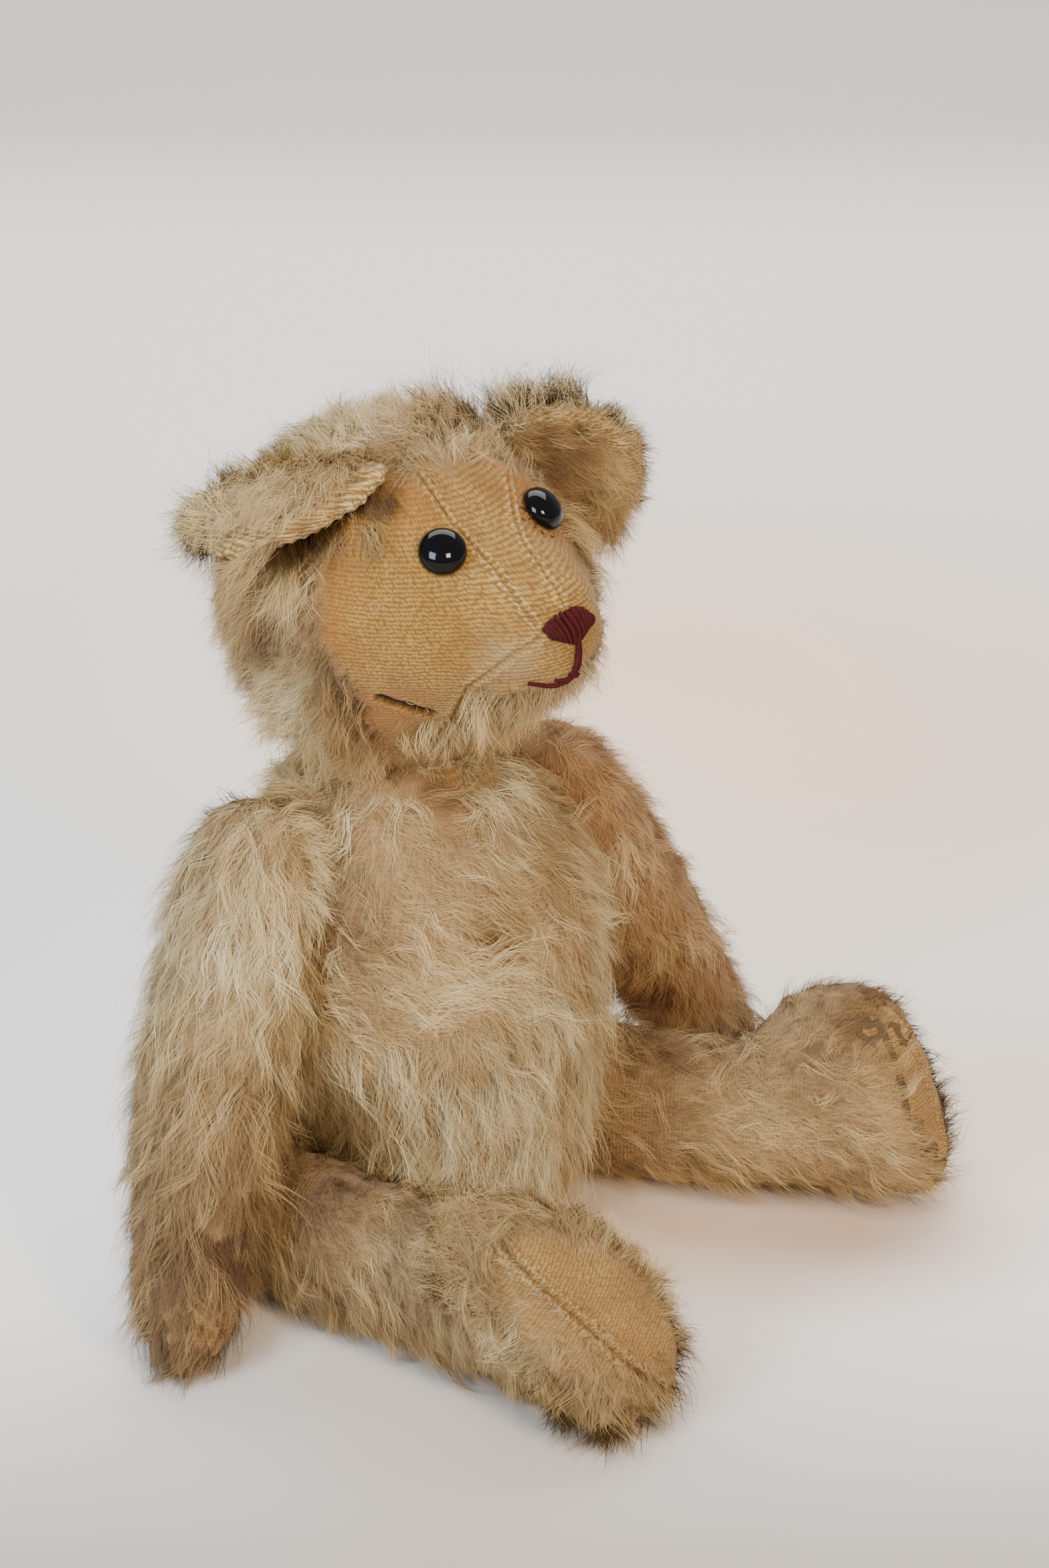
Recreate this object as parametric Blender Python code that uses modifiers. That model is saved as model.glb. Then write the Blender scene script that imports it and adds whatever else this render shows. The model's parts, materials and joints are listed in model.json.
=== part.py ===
"""Threadbare jointed teddy bear, sitting, about 19 cm tall so, and 27 cm if stood up.

Metres, +Z up. The bear faces -Y and its left side is +X. The origin is on the floor under the middle
of its seat. Head, arms and legs turn on card discs held by split pins, as in an old stuffed bear:
each stuffed part is a sewn cover with a pin hole, a filling, and the hardware of its joint.
"""
import math

import bmesh
import bpy
from mathutils import Matrix, Vector
from mathutils.bvhtree import BVHTree

MM = 0.001
DEG = math.pi / 180

# Cloth and clearances
CLOTH = 2.0 * MM            # plush backing with the roots of its pile
GAP = 0.3 * MM              # between touching pieces
FILL_GAP = 1.2 * MM         # between a filling and its cover
SIDES = 8                   # corners of a limb's cage
ROUND_SIDES = 12            # and of the body's and the head's
FILL_DETAIL = 0.55          # share of the cover's faces that a filling keeps
NECK_TAPER = 34.0 * MM      # the head narrows towards the neck below this height
PULL_FADE = 25.0 * MM       # a pull dies away over this height
HIP_PULL = (-1, 42.0 * MM)  # the legs press the body flat below this height
LIMB_PULL = (1, -45.0 * MM) # and the body presses a limb flat above this, in the limb's own frame
EVERYWHERE = (1, -1.0)

# Joint hardware
DISC_THICK = 2.4 * MM
WASHER_THICK = 1.0 * MM
WASHER_RADIUS = 5.0 * MM
PIN_WIRE = 0.55 * MM        # radius of the split pin's wire
PIN_EYE = 1.6 * MM          # radius of the eye that the wire is folded round
PIN_CURL = 1.3 * MM         # radius of its curled ends
PIN_HOLE = 1.8 * MM         # radius of the hole through cloth, discs and washers
PIN_ROOM = 4.5 * MM         # room for the pin's ends behind the washers
NECK_DISC = 12.0 * MM
SHOULDER_DISC = 9.0 * MM
HIP_DISC = 10.5 * MM

# Where the joints are, and how head and limbs stand now (angles in degrees)
SIGN = {"left": 1.0, "right": -1.0}
NECK = Vector((2.0, 11.5, 113.0)) * MM
NECK_TURN = 5.0             # head turned to its left
NECK_ROLL = -4.0            # and its left ear up
SHOULDER = {"left": Vector((35.0, 8.0, 86.5)) * MM, "right": Vector((-33.0, 6.0, 92.0)) * MM}
ARM_TILT = {"left": 27.5, "right": 17.0}      # an arm hangs outwards by this
ARM_SWING = {"left": 6.0, "right": -8.0}      # backwards is positive
HIP = {"left": Vector((24.5, 7.7, 18.8)) * MM, "right": Vector((-31.5, 0.0, 19.5)) * MM}
LEG_SPLAY = {"left": 35.0, "right": 16.0}     # seen from above, towards the bear's left
LEG_ROLL = {"left": 0.0, "right": 8.0}        # toes out
LEG_SWING = {"left": -90.0, "right": -90.0}
FOOT_TWIST = {"left": 0.0, "right": 26.0}     # the soft leg is twisted by this, toes out
FOOT_FLEX = {"left": 0.0, "right": 15.0}      # and its foot bent up at the ankle by this
FOOT_DRAWN = {"left": 0.0, "right": 7.0}      # which draws the foot this many mm nearer

# Eyes, ears, nose, mouth and tear, in the head's own frame (forward is -Y)
EYE_RADIUS = 5.0 * MM
EYE_HEIGHT = 3.8 * MM
EYE_SPOT = Vector((13.5, -31.0, 56.0)) * MM
EYE_HOLE = 2.0 * MM
SHANK = 7.0 * MM
NOSE_SPOT = Vector((0.0, -60.0, 41.5)) * MM
NOSE_THICK = 1.2 * MM
YARN = 0.6 * MM
EAR_THICK = 4.5 * MM
EARS = {  # two ends of the sewn edge, tip of the flap, push of its middle
    "left": (Vector((20, -15, 71.5)), Vector((37, -15, 37)), Vector((59, -19, 55)), Vector((0, 6, 0))),
    "right": (Vector((-11, -17, 72)), Vector((-33, 20, 60)), Vector((-41, -8, 59.5)), Vector((-4, 0, 4))),
}
TEAR_ENDS = (Vector((-25.0, -25.0, 23.0)) * MM, Vector((-16.0, -32.0, 19.0)) * MM)
TEAR_GAPE = 1.0 * MM


def link(obj, collection):
    collection.objects.link(obj)
    return obj


def material(name, colour, roughness, metallic=0.0):
    mat = bpy.data.materials.new(name)
    mat.use_nodes = True
    shader = mat.node_tree.nodes["Principled BSDF"]
    shader.inputs["Base Color"].default_value = (*colour, 1.0)
    shader.inputs["Roughness"].default_value = roughness
    shader.inputs["Metallic"].default_value = metallic
    return mat


def clear_scene():
    for obj in list(bpy.data.objects):
        bpy.data.objects.remove(obj, do_unlink=True)


def loft(sections, sides=SIDES):
    """A closed cage with one ring for each (centre, half axis, half axis), capped at both ends."""
    bm = bmesh.new()
    rings = []
    for centre, across, along in sections:
        ring = []
        for i in range(sides):
            turn = 2 * math.pi * (i + 0.5) / sides
            ring.append(bm.verts.new(centre + across * math.cos(turn) + along * math.sin(turn)))
        rings.append(ring)
    for low, high in zip(rings, rings[1:]):
        for i in range(sides):
            j = (i + 1) % sides
            bm.faces.new((low[i], low[j], high[j], high[i]))
    bm.faces.new(rings[0][::-1])
    bm.faces.new(rings[-1])
    bmesh.ops.recalc_face_normals(bm, faces=bm.faces)
    mesh = bpy.data.meshes.new("cage")
    bm.to_mesh(mesh)
    bm.free()
    return mesh


def smoothed(cage, levels=1):
    """The cage's subdivision surface as a plain mesh."""
    obj = bpy.data.objects.new("smoothing", cage)
    bpy.context.scene.collection.objects.link(obj)
    surface = obj.modifiers.new("Soften", "SUBSURF")
    surface.levels = surface.render_levels = levels
    mesh = bpy.data.meshes.new_from_object(obj.evaluated_get(bpy.context.evaluated_depsgraph_get()))
    bpy.data.objects.remove(obj)
    return mesh


def pull_flat(mesh, planes):
    """Press the surface flat on each plane: a disc's pull on the cloth.

    A plane is (point, outward normal, sign, height). The pull is whole where sign * z is above
    sign * height, and fades out over PULL_FADE past it.
    """
    for point, normal, sign, height in planes:
        for vert in mesh.vertices:
            beyond = (vert.co - point).dot(normal)
            past = sign * (height - vert.co.z)
            if beyond > 0:
                vert.co = vert.co - normal * beyond * max(0.0, min(1.0, 1.0 - past / PULL_FADE))
    return mesh


def ring_profile(inner, outer, low, high):
    """A flat ring's section, for turning about Z."""
    mesh = bpy.data.meshes.new("section")
    corners = [(outer, 0, high), (outer, 0, low), (inner, 0, low), (inner, 0, high)]
    mesh.from_pydata(corners, [(0, 1), (1, 2), (2, 3), (3, 0)], [])
    return mesh


def turn_about_z(obj, steps):
    screw = obj.modifiers.new("Turn", "SCREW")
    screw.steps = screw.render_steps = steps
    screw.use_merge_vertices = True
    screw.merge_threshold = 0.01 * MM
    return obj


class Bear:
    """Holds the collections and materials, and adds the pieces."""

    def __init__(self):
        self.parts = bpy.data.collections.new("teddy_bear")
        self.cutters = bpy.data.collections.new("cutters")
        for collection in (self.parts, self.cutters):
            bpy.context.scene.collection.children.link(collection)
        self.plush = material("worn_mohair_plush", (0.58, 0.47, 0.31), 0.95)
        self.wool = material("wood_wool", (0.55, 0.40, 0.22), 0.9)
        self.card = material("pressed_card", (0.33, 0.24, 0.16), 0.85)
        self.steel = material("dull_steel", (0.42, 0.40, 0.37), 0.45, 1.0)
        self.button = material("black_button", (0.008, 0.008, 0.011), 0.12)
        self.yarn = material("dark_red_yarn", (0.16, 0.028, 0.022), 0.85)

    def frame(self, name, matrix):
        empty = link(bpy.data.objects.new(name, None), self.parts)
        empty.matrix_world = matrix
        return empty

    def add(self, name, data, mat, parent):
        obj = link(bpy.data.objects.new(name, data), self.parts)
        data.materials.clear()
        data.materials.append(mat)
        obj.parent = parent
        return obj

    def cutter(self, name, mesh):
        obj = link(bpy.data.objects.new(name, mesh), self.cutters)
        obj.hide_render = True
        obj.display_type = "WIRE"
        return obj

    def cut(self, obj, cutter):
        cut = obj.modifiers.new(cutter.name, "BOOLEAN")
        cut.operation = "DIFFERENCE"
        cut.solver = "EXACT"
        cut.object = cutter

    def rod_cutter(self, name, radius, low, high, sides):
        """A cylinder along Z, from low to high."""
        bm = bmesh.new()
        middle = Matrix.Translation((0, 0, (low + high) / 2))
        bmesh.ops.create_cone(bm, cap_ends=True, segments=sides, radius1=radius, radius2=radius,
                              depth=high - low, matrix=middle)
        mesh = bpy.data.meshes.new(name)
        bm.to_mesh(mesh)
        bm.free()
        return self.cutter(name, mesh)

    def cover(self, name, surface, parent):
        obj = self.add(name, surface.copy(), self.plush, parent)
        wall = obj.modifiers.new("Wall", "SOLIDIFY")
        wall.thickness = CLOTH
        wall.offset = -1
        wall.use_even_offset = True
        return obj

    def filling(self, name, surface, parent):
        obj = self.add(name, surface.copy(), self.wool, parent)
        coarse = obj.modifiers.new("Coarse", "DECIMATE")
        coarse.ratio = FILL_DETAIL
        shrink = obj.modifiers.new("Inside", "DISPLACE")
        shrink.strength = -(CLOTH + FILL_GAP)
        shrink.mid_level = 0.0
        return obj

    def flat_ring(self, name, radius, low, high, mat, steps):
        return turn_about_z(self.add(name, ring_profile(PIN_HOLE, radius, low, high), mat, None), steps)

    def joint(self, name, frame, disc_radius, near, far):
        """Two discs, two washers and a split pin along the frame's Z, and the holes for them.

        The frame's origin is halfway between the two covers. near is the (cover, filling, parent)
        on the low side of it, and far is the same on the high side.
        """
        wall = GAP / 2 + CLOTH
        for way, (cover, filling, parent), part in ((-1, near, "inner"), (1, far, "outer")):
            start = wall + GAP
            spans = []
            for thick in (DISC_THICK, WASHER_THICK):
                spans.append(sorted((way * start, way * (start + thick))))
                start += thick + GAP
            pocket_span = sorted((way * (wall + GAP / 2), way * (start + PIN_ROOM)))
            hole_span = sorted((-way * MM, way * 2 * wall))
            pieces = (
                self.flat_ring(f"{name}_{part}_disc", disc_radius, *spans[0], self.card, 14),
                self.flat_ring(f"{name}_{part}_washer", WASHER_RADIUS, *spans[1], self.steel, 10),
                self.rod_cutter(f"{name}_{part}_pocket", disc_radius + FILL_GAP, *pocket_span, 14),
                self.rod_cutter(f"{name}_{part}_hole", PIN_HOLE, *hole_span, 10),
            )
            for piece in pieces:
                place_under(piece, parent, frame)
            self.cut(filling, pieces[2])
            self.cut(cover, pieces[2])
            self.cut(cover, pieces[3])
        pin = self.wire(f"{name}_pin", split_pin_route(start), PIN_WIRE, self.steel)
        place_under(pin, near[2], frame)

    def wire(self, name, route, radius, mat):
        curve = bpy.data.curves.new(name, "CURVE")
        curve.dimensions = "3D"
        curve.bevel_depth = radius
        curve.bevel_resolution = 1
        curve.use_fill_caps = True
        spline = curve.splines.new("POLY")
        spline.points.add(len(route) - 1)
        for point, place in zip(spline.points, route):
            point.co = (*place, 1.0)
        return self.add(name, curve, mat, None)


def place_under(obj, parent, world):
    """Put a piece at a world matrix and hand it to the parent that it moves with."""
    obj.parent = parent
    obj.matrix_basis = parent.matrix_basis.inverted() @ world


def split_pin_route(end):
    """A folded wire in the XZ plane: an eye at the low end, two legs, curled ends at the high end."""
    leg = PIN_WIRE + GAP / 2
    route = []
    for i in range(4, -1, -1):
        turn = math.radians(30 * i)
        route.append((leg + PIN_CURL * (1 - math.cos(turn)), 0, end + PIN_CURL * math.sin(turn)))
    route.append((leg, 0, -end))
    middle = -end - PIN_EYE
    eye = [math.radians(40 * i) for i in range(1, 9)]
    loop = [(PIN_EYE * math.sin(turn), 0, middle + PIN_EYE * math.cos(turn)) for turn in eye]
    return route + loop + [(-x, y, z) for x, y, z in reversed(route)]


def torso_surface(planes):
    """The barrel of the body: small flat seat, full chest, sloping shoulders."""
    rows = (  # height, half width, half depth, shift towards the back
        (-2.0, 23.0, 21.0, 2.0),
        (5.0, 32.0, 28.5, 2.0),
        (24.0, 38.0, 34.0, 3.0),
        (48.0, 39.5, 36.5, 2.5),
        (72.0, 40.5, 38.5, -0.5),
        (90.0, 40.5, 36.0, 3.5),
        (103.0, 33.0, 29.0, 8.5),
        (111.0, 22.0, 21.0, 12.0),
        (115.5, 14.0, 13.0, 12.5),
    )
    sections = []
    for z, half_x, half_y, back in rows:
        sections.append((Vector((0, back, z)) * MM, Vector((half_x, 0, 0)) * MM,
                         Vector((0, half_y, 0)) * MM))
    return pull_flat(smoothed(loft(sections, ROUND_SIDES)), planes)


def head_surface():
    """A broad skull drawn out into a short muzzle, narrower below, flat where it meets the neck."""
    rows = (  # distance forward, height of the middle, half width, half height
        (-33.0, 38.0, 13.0, 12.0),
        (-28.0, 38.0, 25.0, 25.0),
        (-15.0, 35.5, 36.0, 38.0),
        (0.0, 34.0, 38.0, 42.0),
        (15.0, 34.5, 37.0, 39.5),
        (27.0, 37.0, 32.5, 28.0),
        (36.0, 37.0, 24.5, 20.0),
        (44.0, 37.5, 16.5, 15.5),
        (50.0, 38.0, 12.5, 12.0),
        (53.5, 38.0, 7.0, 7.0),
    )
    sections = []
    for forward, z, half_x, half_z in rows:
        sections.append((Vector((0, -forward, z)) * MM, Vector((half_x, 0, 0)) * MM,
                         Vector((0, 0, half_z)) * MM))
    surface = smoothed(loft(sections, ROUND_SIDES))
    for vert in surface.vertices:
        low = max(0.0, 1.0 - vert.co.z / NECK_TAPER)
        vert.co.x *= 1.0 - 0.22 * low
        vert.co.y *= 1.0 - 0.10 * low
    return pull_flat(surface, [(Vector((0, 0, GAP / 2)), Vector((0, 0, -1)), *EVERYWHERE)])


def limb_surface(rows, sign, twist=0.0, flex=0.0, drawn=0.0):
    """A limb hanging down -Z from its joint at the origin, its flat inner face at x = 0.

    twist turns the sections about the limb's length, from none at the joint to all of it at the end.
    flex slopes the sections of the foot further, and drawn moves them up the limb.
    """
    sections = []
    last = rows[-1][0]
    steepest = max(row[5] for row in rows) or 1.0
    for drop, back, half_y, half_x, out, tip in rows:
        foot = tip / steepest
        tip += flex * foot
        drop -= drawn * foot
        turn = Matrix.Rotation(sign * twist * DEG * max(0.0, drop / last), 3, "Z")
        slope = turn @ Matrix.Rotation(-tip * DEG, 3, "X")
        centre = Vector((sign * out, 0, -drop)) + turn @ Vector((0, back, 0))
        sections.append((centre * MM, slope @ Vector((half_x, 0, 0)) * MM,
                         slope @ Vector((0, half_y, 0)) * MM))
    inner_face = (Vector((sign * GAP / 2, 0, 0)), Vector((-sign, 0, 0)), *LIMB_PULL)
    return pull_flat(smoothed(loft(sections)), [inner_face])


ARM_ROWS = (  # drop, middle towards the back, half depth, half thickness, middle outwards, slope
    (-17.0, 0.0, 7.0, 6.0, 10.0, 0.0),
    (-12.0, 0.0, 15.5, 12.0, 10.0, 0.0),
    (4.0, 0.0, 19.0, 14.5, 10.5, 0.0),
    (32.0, 0.0, 19.5, 15.0, 14.0, 0.0),
    (60.0, -2.0, 17.0, 14.0, 16.5, 0.0),
    (80.0, -5.0, 14.0, 11.5, 18.0, 0.0),
    (93.0, -8.0, 12.0, 9.5, 19.0, 0.0),
    (99.0, -9.0, 6.5, 5.0, 19.0, 0.0),
)

LEG_ROWS = (
    (-18.0, 0.0, 9.0, 7.0, 10.0, 0.0),
    (-13.0, 0.0, 17.0, 13.0, 10.0, 0.0),
    (2.0, 0.0, 19.5, 15.0, 10.5, 0.0),
    (28.0, 0.0, 18.5, 15.5, 12.0, 0.0),
    (49.0, 1.0, 17.5, 14.5, 13.0, 0.0),
    (61.0, -0.5, 19.5, 15.0, 13.5, 8.0),
    (68.0, -8.0, 27.0, 16.5, 14.0, 20.0),
    (84.0, -10.0, 28.5, 17.5, 14.0, 20.0),
    (92.5, -10.5, 26.0, 15.0, 14.0, 19.0),
    (96.5, -10.5, 15.0, 8.0, 14.0, 19.0),
)


def limb_matrix(place, splay, tilt, swing):
    """Joint axis along X, splayed about Z and tilted about Y, then the limb swung about it."""
    turn = (Matrix.Rotation(splay * DEG, 4, "Z") @ Matrix.Rotation(tilt * DEG, 4, "Y")
            @ Matrix.Rotation(swing * DEG, 4, "X"))
    return Matrix.Translation(place) @ turn


def facing(place, normal):
    """A frame at a place with its Z along a normal and its X level."""
    across = Vector((0, 0, 1)).cross(normal).normalized()
    up = normal.cross(across)
    frame = Matrix((across, up, normal)).transposed().to_4x4()
    frame.translation = place
    return frame


def half_disc(ends, tip, push):
    """An open half disc between two ends of a sewn edge, dished by push at its middle."""
    bm = bmesh.new()
    centre = (ends[0] + ends[1]) / 2
    rings = []
    for reach in (0.0, 0.4, 0.75, 1.0):
        ring = []
        for i in range(9):
            turn = math.pi * i / 8
            arm = (ends[0] - centre) * math.cos(turn) + (tip - centre) * math.sin(turn)
            ring.append(bm.verts.new((centre + arm * reach + push * (1 - reach ** 2)) * MM))
        rings.append(ring)
    for low, high in zip(rings, rings[1:]):
        for i in range(8):
            bm.faces.new((low[i], low[i + 1], high[i + 1], high[i]))
    bmesh.ops.remove_doubles(bm, verts=bm.verts, dist=0.01 * MM)
    mesh = bpy.data.meshes.new("flap")
    bm.to_mesh(mesh)
    bm.free()
    return mesh


def add_ear(bear, name, shape, neck, clear_of):
    first, last, tip, push = shape
    ear = bear.add(name, half_disc((first, last), tip, push), bear.plush, neck)
    wall = ear.modifiers.new("Two layers", "SOLIDIFY")
    wall.thickness = EAR_THICK
    wall.offset = 0
    soft = ear.modifiers.new("Soften", "SUBSURF")
    soft.levels = soft.render_levels = 1
    bear.cut(ear, clear_of)


def button_profile():
    """Half of a domed button's section, from the top of the dome round to the middle of its back."""
    edge = 0.7 * MM
    points = []
    for i in range(5):
        turn = math.pi / 2 * i / 4
        points.append((EYE_RADIUS * math.sin(turn), 0, edge + (EYE_HEIGHT - edge) * math.cos(turn)))
    points += [(EYE_RADIUS * 0.9, 0, 0), (0, 0, 0)]
    mesh = bpy.data.meshes.new("button")
    mesh.from_pydata(points, [(i, i + 1) for i in range(len(points) - 1)], [])
    return mesh


def add_eye(bear, side, neck, skull_tree, head_cover, head_stuffing):
    spot = Vector((SIGN[side] * EYE_SPOT.x, EYE_SPOT.y, EYE_SPOT.z))
    place, normal, _, _ = skull_tree.find_nearest(spot)
    frame = facing(place + normal * GAP, normal)
    button = turn_about_z(bear.add(f"{side}_eye", button_profile(), bear.button, neck), 16)
    half = [(0.9 * MM, 0, -GAP), (0.9 * MM, 0, -SHANK + 0.9 * MM), (0.6 * MM, 0, -SHANK + 0.3 * MM)]
    route = half + [(0, 0, -SHANK)] + [(-x, y, z) for x, y, z in reversed(half)]
    shank = bear.wire(f"{side}_eye_shank", route, 0.45 * MM, bear.steel)
    hole = bear.rod_cutter(f"{side}_eye_hole", EYE_HOLE, -SHANK - 2 * MM, 0.0, 10)
    for piece in (button, shank, hole):
        piece.parent = neck
        piece.matrix_basis = frame
    bear.cut(head_cover, hole)
    bear.cut(head_stuffing, hole)


def add_nose(bear, neck, skull_tree):
    """A pad of satin stitches: a blunt triangle laid on the end of the muzzle."""
    bm = bmesh.new()
    rows = []
    for i in range(5):
        down = i / 4
        half = (5.2 - 3.9 * down) * MM
        row = []
        for j in range(5):
            across = j / 4 * 2 - 1
            start = NOSE_SPOT + Vector((half * across, 0, (3.4 - 7.0 * down - 0.6 * across ** 2) * MM))
            place, normal, _, _ = skull_tree.ray_cast(start, Vector((0, 1, 0)))
            row.append(bm.verts.new(place + normal * (GAP + NOSE_THICK)))
        rows.append(row)
    for upper, lower in zip(rows, rows[1:]):
        for j in range(4):
            bm.faces.new((upper[j], lower[j], lower[j + 1], upper[j + 1]))
    mesh = bpy.data.meshes.new("nose")
    bm.to_mesh(mesh)
    bm.free()
    nose = bear.add("nose_stitching", mesh, bear.yarn, neck)
    pad = nose.modifiers.new("Stitches", "SOLIDIFY")
    pad.thickness = NOSE_THICK
    pad.offset = -1


def add_stitch(bear, name, ends, neck, skull_tree):
    """A long stitch lying on the muzzle between two (x, z) places."""
    route = []
    for i in range(5):
        x, z = (Vector(ends[0]) * (4 - i) + Vector(ends[1]) * i) / 4
        place, normal, _, _ = skull_tree.ray_cast(Vector((x, -80, z)) * MM, Vector((0, 1, 0)))
        route.append(place + normal * (GAP + YARN))
    bear.wire(name, route, YARN, bear.yarn).parent = neck


def tear_cutter(bear, skull_tree):
    """A thin slot through the cover, along the line of the tear."""
    ends = []
    for spot in TEAR_ENDS:
        place, normal, _, _ = skull_tree.find_nearest(spot)
        ends.append(place)
    along = ends[1] - ends[0]
    across = normal.cross(along).normalized()
    bm = bmesh.new()
    bmesh.ops.create_cube(bm, size=1.0)
    mesh = bpy.data.meshes.new("tear")
    bm.to_mesh(mesh)
    bm.free()
    slot = bear.cutter("cheek_tear", mesh)
    size = Matrix.Diagonal((along.length, TEAR_GAPE, 4 * CLOTH, 1.0))
    turn = Matrix((along.normalized(), across, along.normalized().cross(across))).transposed().to_4x4()
    mesh.transform(turn @ size)
    mesh.transform(Matrix.Translation((ends[0] + ends[1]) / 2))
    return slot


def build():
    clear_scene()
    bear = Bear()
    root = bear.frame("body_frame", Matrix.Identity(4))
    neck_turn = Matrix.Rotation(NECK_ROLL * DEG, 4, "Y") @ Matrix.Rotation(NECK_TURN * DEG, 4, "Z")
    neck_world = Matrix.Translation(NECK) @ neck_turn
    limbs = {}
    for side, sign in SIGN.items():
        limbs[side, "arm"] = limb_matrix(SHOULDER[side], 0.0, -sign * ARM_TILT[side], ARM_SWING[side])
        limbs[side, "leg"] = limb_matrix(HIP[side], LEG_SPLAY[side], sign * LEG_ROLL[side],
                                         LEG_SWING[side])

    up = neck_world.to_3x3() @ Vector((0, 0, 1))
    planes = [(Vector((0, 0, 0)), Vector((0, 0, -1)), *EVERYWHERE),
              (NECK - up * GAP / 2, up, *EVERYWHERE)]
    for (side, limb), world in limbs.items():
        outward = world.to_3x3() @ Vector((SIGN[side], 0, 0))
        pull = HIP_PULL if limb == "leg" else EVERYWHERE
        planes.append((world.translation - outward * GAP / 2, outward, *pull))
    torso = torso_surface(planes)
    body = (bear.cover("body_cover", torso, root), bear.filling("body_stuffing", torso, root), root)

    for (side, limb), world in limbs.items():
        pivot = bear.frame(f"{side}_{limb}_pivot", world)
        if limb == "arm":
            joint, disc = "shoulder", SHOULDER_DISC
            surface = limb_surface(ARM_ROWS, SIGN[side])
        else:
            joint, disc = "hip", HIP_DISC
            surface = limb_surface(LEG_ROWS, SIGN[side], FOOT_TWIST[side], FOOT_FLEX[side], FOOT_DRAWN[side])
        far = (bear.cover(f"{side}_{limb}_cover", surface, pivot),
               bear.filling(f"{side}_{limb}_stuffing", surface, pivot), pivot)
        axis = world @ Matrix.Rotation(SIGN[side] * math.pi / 2, 4, "Y")
        bear.joint(f"{side}_{joint}", axis, disc, body, far)

    neck = bear.frame("neck_pivot", neck_world)
    skull = head_surface()
    head = (bear.cover("head_cover", skull, neck), bear.filling("head_stuffing", skull, neck), neck)
    bear.joint("neck", neck_world, NECK_DISC, body, head)
    finding = bmesh.new()
    finding.from_mesh(skull)
    skull_tree = BVHTree.FromBMesh(finding)
    finding.free()
    clear = bear.cutter("skull_and_gap", skull.copy())
    clear.parent = neck
    grow = clear.modifiers.new("Gap", "DISPLACE")
    grow.strength = GAP
    grow.mid_level = 0.0
    for side in SIGN:
        add_eye(bear, side, neck, skull_tree, head[0], head[1])
        add_ear(bear, f"{side}_ear", EARS[side], neck, clear)
    add_nose(bear, neck, skull_tree)
    add_stitch(bear, "lip_stitch", ((0.0, 36.0), (-0.3, 30.2)), neck, skull_tree)
    add_stitch(bear, "right_mouth_stitch", ((-1.2, 28.8), (-8.5, 28.2)), neck, skull_tree)
    add_stitch(bear, "left_mouth_stitch", ((0.6, 28.8), (7.5, 28.8)), neck, skull_tree)
    slot = tear_cutter(bear, skull_tree)
    slot.parent = neck
    bear.cut(head[0], slot)


build()
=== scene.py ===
# %% [markdown]
# # A threadbare teddy bear
# A small jointed bear of pale mohair, some 27 cm tall if it stood. Its skin is straw-coloured backing
# cloth with a long pile; the pile is gone from the face, the throat, the soles and the ear rims.
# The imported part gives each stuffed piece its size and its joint. The steps below give each of them
# a sewn skin with its seams and wear, then eyes, yarn and threads, and at last the pile and the tufts.

import json
import math

import bmesh
import bpy
import numpy as np
from mathutils import Matrix, Vector
from mathutils.bvhtree import BVHTree


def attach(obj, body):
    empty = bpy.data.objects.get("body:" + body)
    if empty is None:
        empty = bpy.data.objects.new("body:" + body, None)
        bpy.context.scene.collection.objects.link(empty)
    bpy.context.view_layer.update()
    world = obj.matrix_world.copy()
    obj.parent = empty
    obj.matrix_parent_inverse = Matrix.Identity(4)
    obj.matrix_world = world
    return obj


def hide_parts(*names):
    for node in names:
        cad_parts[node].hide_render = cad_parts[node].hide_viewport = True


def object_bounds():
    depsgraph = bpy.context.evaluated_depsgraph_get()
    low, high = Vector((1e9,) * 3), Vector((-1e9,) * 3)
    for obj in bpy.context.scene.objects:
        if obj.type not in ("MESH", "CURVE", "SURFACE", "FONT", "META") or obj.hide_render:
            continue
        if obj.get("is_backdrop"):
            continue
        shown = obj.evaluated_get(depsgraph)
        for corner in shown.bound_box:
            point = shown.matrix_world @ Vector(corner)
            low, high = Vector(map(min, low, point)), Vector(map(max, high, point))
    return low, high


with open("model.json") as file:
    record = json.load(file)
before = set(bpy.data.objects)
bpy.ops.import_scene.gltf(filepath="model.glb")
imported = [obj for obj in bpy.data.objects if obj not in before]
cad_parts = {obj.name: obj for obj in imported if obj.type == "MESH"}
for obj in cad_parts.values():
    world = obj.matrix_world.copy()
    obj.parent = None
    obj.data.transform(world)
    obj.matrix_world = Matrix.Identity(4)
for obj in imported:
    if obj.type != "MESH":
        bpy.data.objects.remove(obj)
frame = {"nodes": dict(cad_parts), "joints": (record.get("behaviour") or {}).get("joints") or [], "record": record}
packed_low, packed_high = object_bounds()
nodes = frame["nodes"]
MM = 0.001
print("part", [round(v / MM) for v in packed_high - packed_low], "mm")

# %% [markdown]
# ## Tools
# The bear is lumpy and its wear is uneven, so most shapes below are steered by smooth random fields:
# sums of a few waves in random directions, always the same ones.

# %% Fields and frames
SIDE = {"left": 1.0, "right": -1.0}


def waves(seed, size, count=10):
    """A smooth random field over points in metres, about -1 to 1, with features of this size."""
    rng = np.random.default_rng(seed)
    turn = rng.normal(size=(count, 3))
    turn *= (2 * np.pi / size * rng.uniform(0.6, 1.5, count) / np.linalg.norm(turn, axis=1))[:, None]
    phase = rng.uniform(0, 2 * np.pi, count)
    return lambda p: np.sin(p @ turn.T + phase).sum(1) / math.sqrt(count) * 0.8


def smooth(low, high, value):
    """0 below low, 1 above high, and an even rise between them."""
    t = np.clip((value - low) / (high - low), 0, 1)
    return t * t * (3 - 2 * t)


def unit(v):
    """The same direction with length 1, also for many rows at once."""
    return v / np.maximum(np.linalg.norm(v, axis=-1, keepdims=True), 1e-12)


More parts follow.
